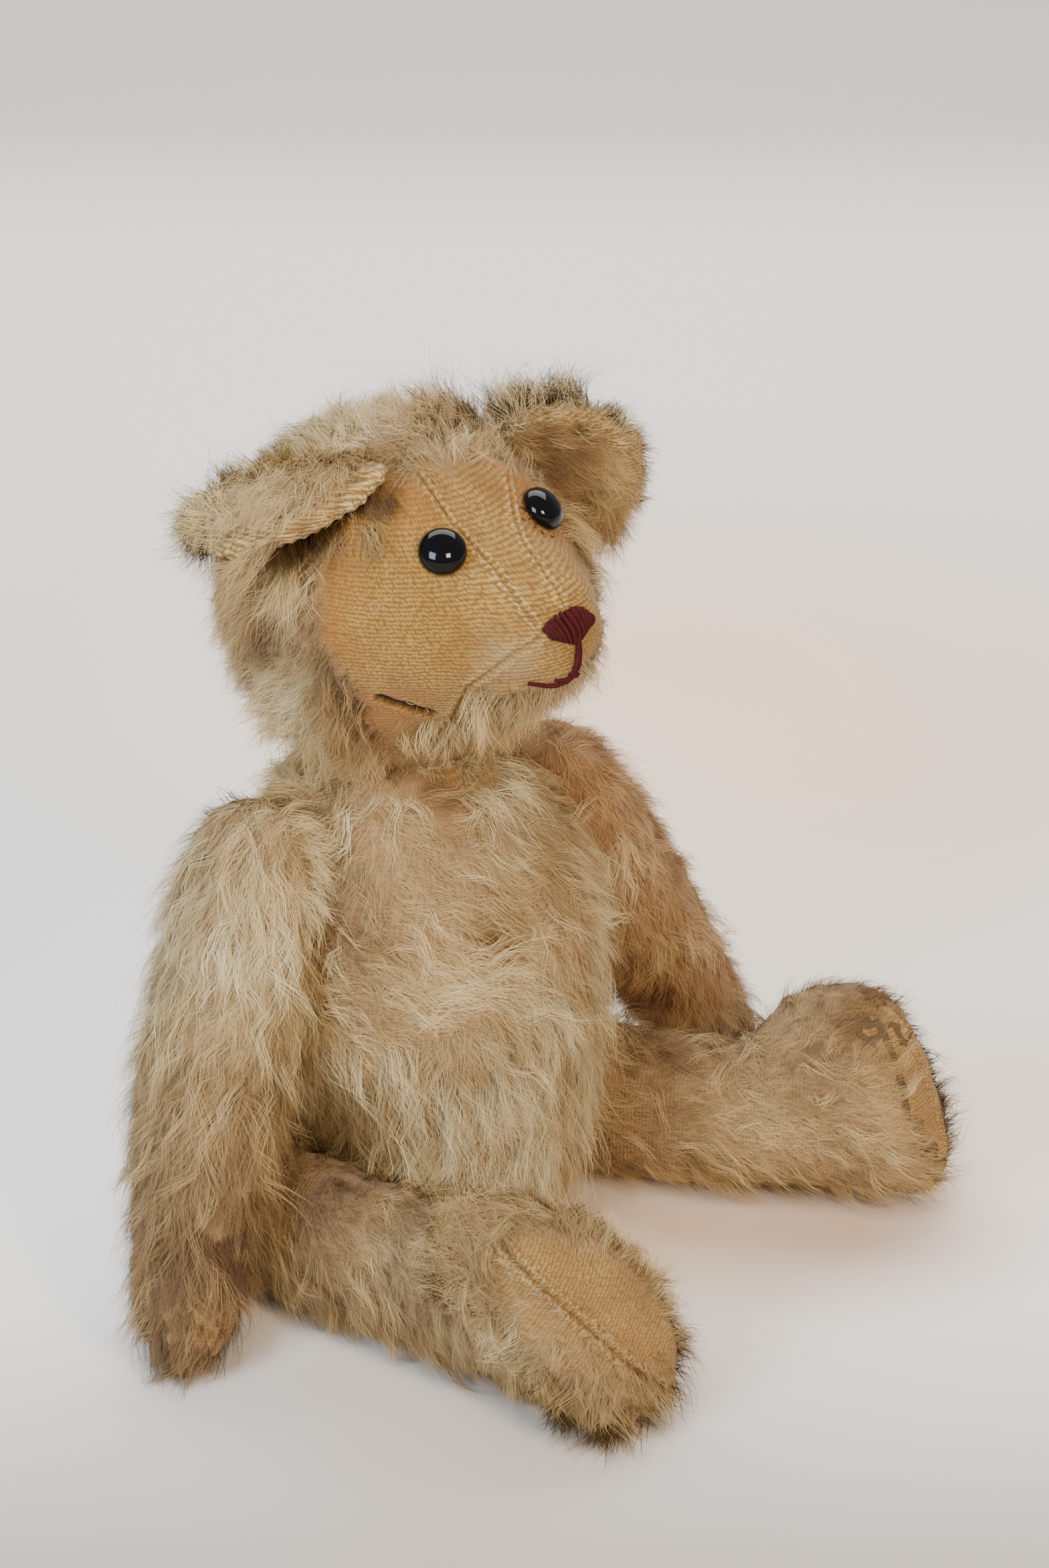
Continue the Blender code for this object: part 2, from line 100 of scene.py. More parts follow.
def rotation(*turns):
    """Turns such as ("Z", 5), the first one applied last, as a 3 x 3 array."""
    whole = Matrix.Identity(3)
    for axis, degrees in turns:
        whole = whole @ Matrix.Rotation(math.radians(degrees), 3, axis)
    return np.array(whole)


class Local:
    """A body's own frame in millimetres: head forward is -Y, a limb hangs along -Z."""

    def __init__(self, origin, turn):
        self.origin, self.turn = np.array(origin), turn

    def to(self, p):
        """Places in metres, told in this frame."""
        return (p - self.origin) @ self.turn / MM

    def back(self, p):
        """Places in this frame, told in metres."""
        return np.asarray(p, float) * MM @ self.turn.T + self.origin

    def way(self, v):
        """A direction in this frame, told in the world's."""
        return np.asarray(v, float) @ self.turn.T


joint_place = {j["child"]: j["pos_m"] for j in frame["joints"]}
HEAD = Local(joint_place["head"], rotation(("Y", -4), ("Z", 5)))
LIMB = {
    "left_arm": Local(joint_place["left_arm"], rotation(("Y", -27.5), ("X", 6))),
    "right_arm": Local(joint_place["right_arm"], rotation(("Y", 17), ("X", -8))),
    "left_leg": Local(joint_place["left_leg"], rotation(("Z", 35), ("X", -90))),
    "right_leg": Local(joint_place["right_leg"], rotation(("Z", 16), ("Y", -8), ("X", -90))),
}
WORLD = Local((0, 0, 0), np.eye(3))
for name, local in {"head": HEAD, **LIMB}.items():
    print(name, "joint at", np.round(local.origin / MM, 1))

# %% [markdown]
# ## Skins
# Each stuffed piece is a sewn skin filled with wood wool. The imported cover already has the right
# outline, but it is a coarse shell. Its outer wall is taken, closed, remeshed evenly and eased, so
# that seams, dents and lumps can be worked into it.

# %% Outer wall of a cover
WALL_TURN = math.radians(68)     # a sharper edge than this belongs to a hole through the wall


def outer_wall(node, name, voxel):
    """A packed cover's outer wall as a new closed mesh of even faces, voxel metres wide."""
    bm = bmesh.new()
    bm.from_mesh(nodes[node].data)
    bmesh.ops.remove_doubles(bm, verts=bm.verts, dist=0.002 * MM)
    start = max(bm.faces, key=lambda f: abs(f.calc_center_median().x) + f.calc_center_median().z)
    reached, todo = {start}, [start]
    while todo:
        face = todo.pop()
        for edge in face.edges:
            if len(edge.link_faces) == 2 and edge.calc_face_angle() < WALL_TURN:
                for other in edge.link_faces:
                    if other not in reached:
                        reached.add(other)
                        todo.append(other)
    bmesh.ops.delete(bm, geom=[f for f in bm.faces if f not in reached], context="FACES")
    bmesh.ops.holes_fill(bm, edges=[e for e in bm.edges if e.is_boundary])
    bmesh.ops.recalc_face_normals(bm, faces=bm.faces)
    mesh = bpy.data.meshes.new(name)
    bm.to_mesh(mesh)
    bm.free()
    skin = bpy.data.objects.new(name, mesh)
    bpy.context.scene.collection.objects.link(skin)
    bpy.context.view_layer.objects.active = skin
    for kind, settings in (("SUBSURF", {"levels": 1}), ("REMESH", {"mode": "VOXEL", "voxel_size": voxel}),
                           ("SMOOTH", {"factor": 0.6, "iterations": 5})):
        modifier = skin.modifiers.new(kind, kind)
        for key, value in settings.items():
            setattr(modifier, key, value)
        bpy.ops.object.modifier_apply(modifier=modifier.name)
    return skin


# Width of the faces in mm: finer where the cloth is bare and seen close by
VOXEL = {"body": 2.3, "head": 1.35, "left_arm": 2.1, "right_arm": 2.0, "left_leg": 2.1, "right_leg": 1.8}
skins = {}
for body, voxel in VOXEL.items():
    skins[body] = outer_wall(body + "_cover", body + "_skin", voxel * MM)
    print(body, len(skins[body].data.polygons), "faces")

# %% [markdown]
# ## Seams, dents and the tear
# The panels meet in seams: two along the gusset from the nose over the forehead, one under the chin,
# one down the chest with a pucker where it was mended, one down the back and each arm, one along each
# sole. A seam is a narrow valley between two soft lips, so the mesh is first divided finely along its
# line. The tear under the cheek is a valley too, but deep and without lips.

# %% Lines on the skins
SEAMS = {  # body: (name, half width of the valley, depth, height of the lips, points in mm)
    "head": (
        ("gusset_right", 0.36, 0.4, 0.62, HEAD, (
            (-1, 33, 25), (-1, 34.5, 45), (-3, 27, 62), (-5, 13, 72), (-6, -4, 73.5), (-7, -19, 68),
            (-8.1, -29, 60.9), (-7.2, -39, 53.6), (-8.2, -46, 48.7), (-7.6, -51, 43.8))),
        ("gusset_left", 0.36, 0.35, 0.55, HEAD, (
            (1, 33, 25), (2, 34.5, 45), (6, 27, 62), (11, 13, 71.5), (15, -4, 70.5), (14.5, -21, 64.3),
            (7, -31, 59.4), (2.4, -39, 54.7), (0.1, -47.5, 50.5), (-0.4, -52, 46))),
        ("chin", 0.45, 0.6, 0.3, HEAD, (
            (-7.2, -51.5, 41), (-11.8, -49.3, 38.8), (-14.2, -46, 35.7), (-17, -40, 30.7), (-15, -33, 22),
            (-10, -25, 10))),
        ("tear", 0.80, 3.2, 0.15, HEAD, ((-27.6, -25, 27.1), (-23.8, -28, 24.8), (-19.1, -30.3, 22.2))),
    ),
    "body": (
        ("front", 0.6, 0.7, 0.5, WORLD, (
            (7.5, -1.7, 113), (2.3, -10, 109), (-2, -19, 102), (-4.7, -26.5, 93.5), (-5, -31.6, 84.3),
            (-5.3, -34.7, 70.4), (-2.3, -33.3, 53), (1.9, -30.5, 34.7), (3, -26, 14))),
        ("crease", 0.9, 2.2, 0.6, WORLD, ((-13, -29.2, 85.9), (-8.5, -30.9, 84.8), (-2, -31.8, 84.6))),
        ("back", 0.6, 0.6, 0.4, WORLD, ((0, 36, 105), (0, 38, 80), (0, 39, 50), (0, 36, 15))),
    ),
    "right_leg": (
        ("sole", 0.45, 0.9, 1.3, WORLD, (
            (-41.2, -72.4, 43.5), (-41.3, -77.3, 40.8), (-39.8, -82.2, 37.3), (-35.5, -87.6, 31.2),
            (-30.4, -91.9, 24.3), (-24.7, -95.7, 16.9), (-19.6, -97.3, 12.5))),
    ),
    "left_leg": (
        ("sole", 0.35, 0.5, 0.8, LIMB["left_leg"], (
            (13, -36, -84), (13, -30, -94), (13, -10, -99), (13, 6, -97))),
    ),
    "right_arm": (
        ("arm", 0.5, 0.5, 0.4, LIMB["right_arm"], (
            (-8, -17, -6), (-8, -19, -30), (-13, -19, -60), (-16, -20, -88), (-19, -16, -100))),
    ),
    "left_arm": (
        ("arm", 0.5, 0.5, 0.4, LIMB["left_arm"], (
            (8, -17, -6), (8, -19, -30), (13, -19, -60), (16, -20, -88), (19, -16, -100))),
    ),
}


def to_line(points, line):
    """Distance of each point from a line of places, and how far along the line that is."""
    best, along = np.full(len(points), 1e9), np.zeros(len(points))
    start = 0.0
    for a, b in zip(line, line[1:]):
        step = b - a
        length = np.linalg.norm(step)
        t = np.clip((points - a) @ step / length ** 2, 0, 1)
        gap = np.linalg.norm(points - a - t[:, None] * step, axis=1)
        along = np.where(gap < best, start + t * length, along)
        best = np.minimum(best, gap)
        start += length
    return best, along


def onto(tree, local, points):
    """A line's places, set down on the skin, and more of them in between."""
    rough = [Vector(local.back(p)) for p in points]
    line = [a.lerp(b, i / 6) for a, b in zip(rough, rough[1:]) for i in range(6)] + [rough[-1]]
    return np.array([tree.find_nearest(p)[0] for p in line])


def arrays(mesh):
    """The places and the normals of a mesh's vertices."""
    co = np.empty(len(mesh.vertices) * 3, np.float32)
    mesh.vertices.foreach_get("co", co)
    normal = np.empty(len(mesh.vertices) * 3, np.float32)
    mesh.vertices.foreach_get("normal", normal)
    return co.reshape(-1, 3).astype(float), normal.reshape(-1, 3).astype(float)


def tree_of(skin):
    """A search tree over a skin's faces, which finds the nearest place or what a ray hits."""
    finding = bmesh.new()
    finding.from_mesh(skin.data)
    tree = BVHTree.FromBMesh(finding)
    finding.free()
    return tree


def refine(skin, lines, reach):
    """Divide the faces near the lines in three each way."""
    bpy.ops.object.select_all(action="DESELECT")
    bpy.context.view_layer.objects.active = skin
    skin.select_set(True)
    middles = np.array([p.center for p in skin.data.polygons])
    near = np.min([to_line(middles, line)[0] for line in lines], axis=0) < reach
    skin.data.polygons.foreach_set("select", near)
    bpy.ops.object.mode_set(mode="EDIT")
    bpy.ops.mesh.select_mode(type="FACE")
    bpy.ops.mesh.subdivide(number_cuts=2)
    bpy.ops.object.mode_set(mode="OBJECT")


seam_lines = {}
for body, skin in skins.items():
    tree = tree_of(skin)
    seam_lines[body] = [onto(tree, local, points) for *_, local, points in SEAMS[body]]
    refine(skin, seam_lines[body], 2.0 * MM)
    print(body, len(skin.data.polygons), "faces")

# %% [markdown]
# ## Where the pile is gone
# Handling has rubbed the pile off wherever a child kisses, holds or drags a bear: the face, the
# throat, the rims of the ears, one paw and the soles. Each skin gets a value of bareness from 0 to 1
# at every place, and others for the rusty stain of old glue and dye, which on the head also holds
# painted shade in the recess by the right ear, for grime, and for how much the pile has browned.
# Pile and cloth colours both read them. The head's borders are given by turn in degrees round it and
# by height, so each is a short table of numbers to read between.

# %% Wear of each piece
grain, fine_grain = waves(3, 7 * MM), waves(9, 3 * MM)
coarse = waves(4, 26 * MM)


def head_wear(p):
    """Bareness, stain, grime and browning of the head."""
    x, y, z = (HEAD.to(p) + 0.8 * np.stack([grain(p), grain(p + 0.05), grain(p + 0.1)], 1)).T
    turn = np.degrees(np.arctan2(x, -y))
    right = np.interp(z, (18, 26, 33, 40, 47, 55, 61, 68), (-52, -52, -57, -63, -65, -66, -60, -42))
    left = np.interp(z, (26, 33, 40, 47, 55, 61, 68), (-16, 3, 20, 29, 33, 33, 22))
    low = np.interp(turn, (-60, -24, -18, 0, 40), (5, 5, 30, 33, 38))
    bare = (smooth(right - 3, right + 4, turn) * smooth(-(left + 4), -(left - 5), -turn)
            * smooth(low - 2, low + 1.5, z) * smooth(-69, -65.5, -z + 0.08 * np.abs(x - 4)))
    throat = np.interp(turn, (-24, -16, -2, 6), (31, 22, 11, 3))
    bare = np.maximum(bare, smooth(throat + 1.5, throat - 1.5, z) * smooth(right - 3, right + 4, turn))
    bare *= smooth(8, 14, -y)
    # Painted shade: the orange-brown down the right edge of the bare face lies in the recess by the ear.
    stain = 0.6 * np.exp(-((turn + 60) / 9) ** 2) * smooth(28, 40, z) * smooth(-68, -60, -z)
    stain = np.maximum(stain, np.exp(-(np.hypot(x - 16, z - 58) / 7.5) ** 2) * smooth(10, 20, -y))
    stain = np.maximum(stain, 0.9 * np.exp(-(np.hypot(x + 26, z - 23) / 6) ** 2))
    stain = np.maximum(stain, 0.8 * np.exp(-(np.hypot(x + 14, z - 66) / 7) ** 2))
    grime = 0.4 * np.exp(-(np.hypot(x + 12, z - 37) / 5.5) ** 2) * smooth(38, 44, -y)
    brown = 0.3 + 0 * z
    return bare, stain, grime, brown


def body_wear(p):
    """The same four of the body: bare at the throat, stained there and at the pucker."""
    x, y, z = (p / MM).T
    bare = np.exp(-((x - 3) / 10) ** 4 - ((z - 113) / 6) ** 4) * smooth(-9, -4, -y)
    bare = np.maximum(bare, 0.7 * np.exp(-((x - 0.5) / 3) ** 2 - ((z - 106) / 6) ** 2) * smooth(0, 8, -y))
    stain = 0.7 * np.exp(-(np.hypot(x + 6, z - 112) / 7) ** 2)
    dent = np.hypot(x + 5, z - 84)
    stain = np.maximum(stain, 0.7 * np.exp(-(dent / 4) ** 2) * smooth(0, 20, -y))
    grime = 0.5 * smooth(8, 2, z)
    return bare * smooth(-0.5, 0.3, grain(p) + 0.4), stain, grime, 0.25 + 0.2 * coarse(p)


# Middle of the right sole in mm, and its frame: along it, across it and out of it
SOLE = np.array((-30.0, -87.0, 28.0)), np.array(((0.647, -0.485, -0.589), (-0.694, -0.055, -0.717),
                                                 (-0.316, -0.873, 0.373))).T


def limb_wear(name):
    """A function that gives the same four for one arm or leg."""
    local, sign = LIMB[name], SIDE[name.split("_")[0]]

    def arm(p):
        x, y, z = local.to(p).T
        if sign < 0:
            tip = np.linalg.norm(p / MM - (-75, -24.5, 14.5), axis=1) + 1.2 * grain(p)
            edge = np.exp(-((y + 13) / 3.5) ** 2 - ((z + 2) / 11) ** 2 - ((np.abs(x) - 7) / 4) ** 2)
            return (np.maximum(0.85 * np.exp(-(tip / 6.5) ** 2), edge),
                    0.5 * np.exp(-(tip / 7) ** 2) + 0.4 * edge,
                    0.2 * np.exp(-(tip / 8) ** 2), 0.3 + 0.3 * smooth(-60, -95, z))
        inner = smooth(0.2, -0.5, coarse(p)) * 0.3
        return (0.0 * x, 0.3 + inner + 0.3 * smooth(-70, -95, z), 0.3 * smooth(0.2, 0.9, coarse(p)),
                0.5 + 0 * x)

    def leg(p):
        x, y, z = local.to(p).T
        end = smooth(86, 92, -z)
        if sign < 0:
            long, cross, deep = ((p / MM - SOLE[0]) @ SOLE[1]).T
            reach = np.hypot(long / 25, cross / 13) + 0.08 * grain(p) + 0.04 * fine_grain(p)
            bare = 0.7 * smooth(1.12, 0.75, reach) * smooth(-11, -7, deep)
            bare *= 1 - 0.6 * smooth(0, 8, cross + 3 * grain(p))
            return bare, 0.12 * bare * smooth(-0.2, 0.6, grain(p)), 0 * x, 0.4 + 0.2 * coarse(p)
        strip = to_line(p / MM, np.array(((79.0, -58.5, 47.0), (82.6, -62.5, 40.2), (92.0, -62.5, 29.0))))[0]
        strip = 0.72 * smooth(8, 1.5, strip + 1.4 * grain(p))
        under = 0.85 * end * smooth(1.15, 0.8, np.hypot((y + 14) / 20, (x - 13) / 11) + 0.08 * grain(p))
        bare = np.maximum(under, strip)
        return bare, 0.25 * bare, 0.35 * smooth(5, 1, p[:, 2] / MM), 0.5 + 0.2 * coarse(p)

    return arm if name.endswith("arm") else leg


WEAR = {"head": head_wear, "body": body_wear, **{name: limb_wear(name) for name in LIMB}}
WORN = ("bare", "stain", "grime", "brown")


def wear_of(body, p):
    """The four worn values at points of a body, each from 0 to 1."""
    return dict(zip(WORN, np.clip(np.broadcast_arrays(*WEAR[body](p)), 0, 1)))


for body, skin in skins.items():
    bare = wear_of(body, arrays(skin.data)[0])["bare"]
    print(body, "is bare at", round(100 * bare.mean()), "% of its places")


# %% [markdown]
# ## Darker and paler places: tone, painted shade and painted highlights
# The pile is not one colour: it is grey-brown behind the cheek and paler on the shoulder and the shins.
# Other rows paint light into it: painted shade in the hollows beside the right arm and leg, in the crease
# of the chest and under the right ear, and painted highlights across the waist and the lower belly.
# Each row is one such place.

# %% Darker and paler places of the pile
PILE_TONE_LIGHT_SHADE = {  # skin: (frame, rows of (place in mm, reach in mm, change of tone))
    # Painted shade: the dark rows at x -25 to -33 lie in the hollow beside the right arm, the one at (-6, -32, 85)
    # in the chest's crease. Painted highlights: the pale rows at the waist and the lower belly.
    "body": (WORLD, (
        ((-15, -29, 42), 22, 0.26), ((6, -30, 36), 20, 0.26), ((-6, -32, 85), 4, -0.5),
        ((-22, -26, 82), 9, 0.16), ((-11, -31, 78), 10, 0.16), ((-33, -14, 87), 8, -0.30),
        ((-33, -18, 72), 8, -0.22), ((-32, -14, 47), 8, -0.35), ((-28, -15, 25), 8, -0.40),
        ((-25, -12, 99), 8, -0.16), ((-31, -16, 36), 7, -0.30), ((-5, -28, 92), 8, -0.12),
        ((-3, -6, 110), 5, -0.30), ((20, -28, 62), 16, 0.08))),
    # Painted shadow: the dark row at (-35, -1, 40), under the right ear.
    "head": (HEAD, (
        ((17, -14, 68), 6, -0.16), ((-4, 0, 72), 12, 0.30), ((-35, -1, 40), 6, -0.70),
        ((-33, 12, 43), 7, -0.12), ((-32, -6, 24), 8, 0.42), ((-8, -43, 25), 8, -0.22),
        ((-32, -17, 43), 6, -0.40), ((-31, -23, 31), 6, -0.42), ((-27, -18, 21), 8, -0.34),
        ((-34, -8, 46), 6, 0.08), ((-33, -5, 26), 9, 0.12), ((20, -33, 53), 7, -0.2),
        ((-14, -15, 67), 5, -0.34))),
    "right_arm": (WORLD, (
        ((-58, 4, 90), 17, 0.20), ((-68, -7, 65), 10, -0.14), ((-66, -17, 52), 8, -0.16),
        ((-73, -20, 30), 12, -0.22), ((-46, -8, 98), 8, 0.14), ((-80, -12, 40), 8, 0.06))),
    "left_arm": (WORLD, (
        ((52, -7, 82), 14, 0.16), ((82, 0, 27), 12, 0.34), ((67, 3, 38), 7, -0.42),
        ((70, -4, 55), 10, 0.22))),
    # Painted shade: the dark row at (-45, -22, 33), where the leg meets the body by the arm.
    "right_leg": (WORLD, (
        ((-45, -22, 33), 9, -0.50), ((-50, -30, 19), 9, 0.06), ((-45, -38, 29), 6, 0.26),
        ((-47, -68, 36), 8, -0.12), ((-37, -58, 45), 8, -0.14), ((-42, -60, 13), 7, 0.10),
        ((-27, -88, 5), 10, 0.25))),
    "left_leg": (WORLD, (
        ((50, -23, 26), 10, -0.15), ((60, -44, 20), 13, 0.22), ((71, -44, 52), 5, -0.30),
        ((80, -66, 15), 10, 0.16), ((75, -53, 50), 8, -0.36))),
    "left_ear": (HEAD, (
        ((32, -21, 56), 12, -0.75), ((36, -12, 69), 7, 0.30), ((47, -12, 65), 7, 0.30))),
    "right_ear": (HEAD, (((-30, 2, 66), 9, 0.10),)),
}


def tone_light_and_shade(skin, p):
    """How much darker or paler the pile is at points of a skin: its own tone, painted shade and painted
    highlights.
    """
    local, rows = PILE_TONE_LIGHT_SHADE[skin]
    at = local.to(p)
    change = np.zeros(len(p))
    for place, reach, by in rows:
        change += by * np.exp(-(np.linalg.norm(at - place, axis=1) / reach) ** 2)
    return change


print(sum(len(rows) for _, rows in PILE_TONE_LIGHT_SHADE.values()), "darker and paler places")


# %% [markdown]
# ## Working the skins
# Seams become valleys with lips, gathered a little by each stitch. Wood wool packs in lumps. Under the
# pile the cloth looks thicker, because the roots of the hairs stand so close, so the skin swells there.
# The last of it goes towards nothing at the joints, where two pieces are pressed together.

# %% Press seams and lumps into the skins
lumps, fine_lumps, tufts = waves(5, 30 * MM), waves(6, 13 * MM), waves(7, 3.6 * MM)
STITCH = 2.3 * MM                   # from one stitch of a seam to the next
PILE_FOOT = 1.2 * MM                # how much the roots of the pile thicken the cloth
COLLAR = {"body": (2.6, -12, -4), "head": (-1.2, 14, 6)}    # edges that the neck joint presses out, mm
GIRTH = {"head": 42, "body": 32}    # mean radius in mm, which carries the cloth's map round the piece
# Bulges and dents: place, reach and rise
HEEL = (np.array((-27, -86, 8)) * MM, 9 * MM, 3.5 * MM)
INSTEP = (np.array((66, -41, 47)) * MM, 8 * MM, -3.2 * MM)
TOE = (np.array((79, -49, 52)) * MM, 6 * MM, 1.5 * MM)
CREASE_PULL = (np.array((-5, -31.6, 84.3)) * MM, 6.5 * MM, -2.6 * MM)
DENTS = {"body": (CREASE_PULL,), "right_leg": (HEEL,), "left_leg": (INSTEP, TOE)}


def joint_free(body, p):
    """0 on a body's flat faces at its joints, 1 away from them."""
    free = np.ones(len(p))
    for joint in frame["joints"]:
        if body in ("body", joint["child"]):
            offset = (p - np.array(joint["pos_m"])) / MM
            axis = np.array(joint["axis"])
            along = np.abs(offset @ axis)
            around = np.linalg.norm(offset - np.outer(offset @ axis, axis), axis=1)
            inner, outer = (12, 16) if joint["child"] == "head" else (20, 26)
            free = np.minimum(free, np.maximum(smooth(0.6, 4, along), smooth(inner, outer, around)))
    return free


def set_values(mesh, name, values, kind="FLOAT", key="value"):
    """Hold one value for each vertex under a name that a material can read."""
    attribute = mesh.attributes.new(name, kind, "POINT")
    attribute.data.foreach_set(key, np.ascontiguousarray(values, np.float32).ravel())


for body, skin in skins.items():
    place, normal = arrays(skin.data)
    worn = wear_of(body, place)
    raised = 0.45 * MM * lumps(place) + 0.25 * MM * fine_lumps(place)
    raised += (1 - worn["bare"]) * PILE_FOOT * (0.75 + 0.35 * tufts(place))
    raised *= joint_free(body, place)
    dark, ridge_highlight = np.zeros(len(place)), np.zeros(len(place))
    for (seam, width, depth, lips, *_), line in zip(SEAMS[body], seam_lines[body]):
        gap, along = to_line(place, line)
        gathered = 0.3 * fine_grain(place) if seam == "tear" else 0.25 * np.sin(along / STITCH * 2 * np.pi)
        gap, width = gap / MM, width * (1 + gathered)
        side = np.exp(-((gap - 2.4 * width) / (1.3 * width)) ** 2)
        raised += (lips * side - depth * np.exp(-(gap / width) ** 2)) * MM
        # Painted shade: the valley of a seam is darkened a little, the deep tear nearly to black.
        if seam == "tear":
            deep = np.exp(-(gap / width / 1.6) ** 4)
        else:
            deep = 0.14 * np.exp(-(gap / width / 1.1) ** 2)
        dark = np.maximum(dark, deep)
        # Painted highlight: the lips are paler where they rise.
        ridge_highlight = np.maximum(ridge_highlight, min(lips, 0.6) * side)
    for centre, reach, rise in DENTS.get(body, ()):
        raised += rise * np.exp(-(np.linalg.norm(place - centre, axis=1) / reach) ** 2)
    shape = place + normal * raised[:, None]
    if body in COLLAR:
        rise, low, high = COLLAR[body]
        neck = np.array(joint_place["head"])
        out = np.linalg.norm((place - neck)[:, :2], axis=1) / MM
        over = smooth(low, high, (place - neck)[:, 2] / MM)
        shape[:, 2] += rise * MM * np.exp(-((out - 18) / 5) ** 2) * over
    shape[:, 2] = np.maximum(shape[:, 2], 0)
    skin.data.vertices.foreach_set("co", shape.astype(np.float32).ravel())
    # The cloth under the pile browns with the same rows, so their painted shade and highlights reach it too.
    worn["brown"] = np.clip(worn["brown"] - 1.6 * tone_light_and_shade(body, place), 0, 1)
    for key in WORN:
        set_values(skin.data, key, worn[key])
    set_values(skin.data, "dark", dark)
    set_values(skin.data, "ridge_highlight", ridge_highlight)
    local = HEAD if body == "head" else LIMB.get(body, WORLD)
    x, y, z = local.to(place).T
    around = np.arctan2(x - (0 if body in ("head", "body") else x.mean()), -y) * GIRTH.get(body, 16)
    if body.endswith("leg"):
        long, cross, sole = y, x, (worn["bare"] > 0.7) & (z < -40)
        if body == "right_leg":
            long, cross, deep = ((place / MM - SOLE[0]) @ SOLE[1]).T
            sole = (np.hypot(long / 25, cross / 13) < 1.45) & (deep > -16)
        around, z = np.where(sole, cross, around), np.where(sole, long, z)
    set_values(skin.data, "cloth", np.stack([around, z, 0 * z], 1), "FLOAT_VECTOR", "vector")
    skin.data.update()
    bpy.context.view_layer.objects.active = skin
    skin.select_set(True)
    bpy.ops.object.shade_smooth()
    skin.select_set(False)
    print(body, "swells by", round(raised.max() / MM, 1), "and dips by", round(-raised.min() / MM, 1), "mm")

# %% [markdown]
# ## Ears
# An ear is two layers of plush, sewn round the edge, turned and sewn to the head. The edge is the
# first thing to go bald. The left ear still stands as a cup, the right one has sagged over.

# %% Ear skins
EARS = {  # two ends of the sewn edge, tip of the flap, in the head's frame in mm
    "left": ((20, -15, 71.5), (37, -15, 37), (59, -19, 55)),
    "right": ((-11, -17, 72), (-33, 20, 60), (-41, -8, 59.5)),
}


def ear_place(side, p):
    """Across the ear, out from the head (1 at the edge) and through it, for points of it."""
    first, last, tip = (np.array(v, float) for v in EARS[side])
    centre = (first + last) / 2
    across, out = first - centre, tip - centre
    through = unit(np.cross(across, out)) * (1 if side == "left" else -1)
    offset = HEAD.to(p) - centre
    basis = np.linalg.inv(np.stack([across, out, through], 1))
    return (offset @ basis.T).T


def ear_wear(side, p):
    """Bareness, stain, grime and browning of an ear, by where its rim is."""
    a, b, through = ear_place(side, p)
    rim = np.hypot(a, b) + 0.05 * grain(p)
    band = smooth(0.76, 0.83, rim)
    if side == "left":
        bare = 0.8 * smooth(0.62, 0.80, rim) * smooth(2.5, -0.5, through) * smooth(-0.75, -0.3, a)
        stain = 0.05 * bare
    else:
        bare = band * smooth(-0.9, -0.6, a)
        stain = 0.1 * bare
    return bare, stain, 0.5 * smooth(0.35, 0.1, b), 0.5 + 0 * a


for side in EARS:
    ear = outer_wall(f"{side}_ear", f"{side}_ear_skin", 0.75 * MM)
    place, normal = arrays(ear.data)
    a, b, through = ear_place(side, place)
    rim = np.hypot(a, b)
    bare, stain, grime, brown = np.clip(np.broadcast_arrays(*ear_wear(side, place)), 0, 1)
    rim += 0.05 * fine_lumps(place)
    gathers = 1 + 0.35 * np.sin(np.arctan2(b, a) * np.linalg.norm(np.subtract(*EARS[side][:2])) * 1.1)
    raised = 1.1 * np.exp(-((rim - 0.97) / 0.06) ** 2) + 0.9 * np.exp(-((rim - 0.83) / 0.05) ** 2)
    raised = raised * gathers * bare + (1 - bare) * (0.6 + 0.4 * tufts(place)) + 0.5 * fine_lumps(place)
    raised *= smooth(0.02, 0.25, b)
    # Painted shade in the groove of the rim's seam.
    dark = 0.5 * np.exp(-((rim - 0.90) / 0.03) ** 2) * bare * (0.6 + 0.4 * tufts(place))
    ear.data.vertices.foreach_set("co", (place + normal * raised[:, None] * MM).astype(np.float32).ravel())
    # Painted highlight: the bald rim is paler, most towards its outer edge.
    ridge_highlight = bare * (0.5 + 0.5 * np.exp(-((rim - 0.93) / 0.05) ** 2))
    for key, values in zip(WORN + ("dark", "ridge_highlight"), (bare, stain, grime, brown, dark, ridge_highlight)):
        set_values(ear.data, key, values)
    x, y, z = HEAD.to(place).T
    set_values(ear.data, "cloth", np.stack([x + y, z, 0 * z], 1), "FLOAT_VECTOR", "vector")
    ear.data.update()
    skins[f"{side}_ear"] = ear
    WEAR[f"{side}_ear"] = lambda p, side=side: ear_wear(side, p)
    print(ear.name, len(ear.data.polygons), "faces")

# %% [markdown]
# ## Eyes
# The eyes are old shoe buttons: black, domed and glossy, with a flat back and a wire loop that the
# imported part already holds. A sphere squeezed along its axis, its lower half pressed flat, gives one.

# %% Shoe buttons
EYE_RADIUS, EYE_DOME, EYE_EDGE = 5.0 * MM, 3.5 * MM, 0.7 * MM    # wide, high, and thick at the rim


def middle_of(node):
    """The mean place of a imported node's vertices."""
    return np.mean([v.co for v in nodes[node].data.vertices], axis=0)


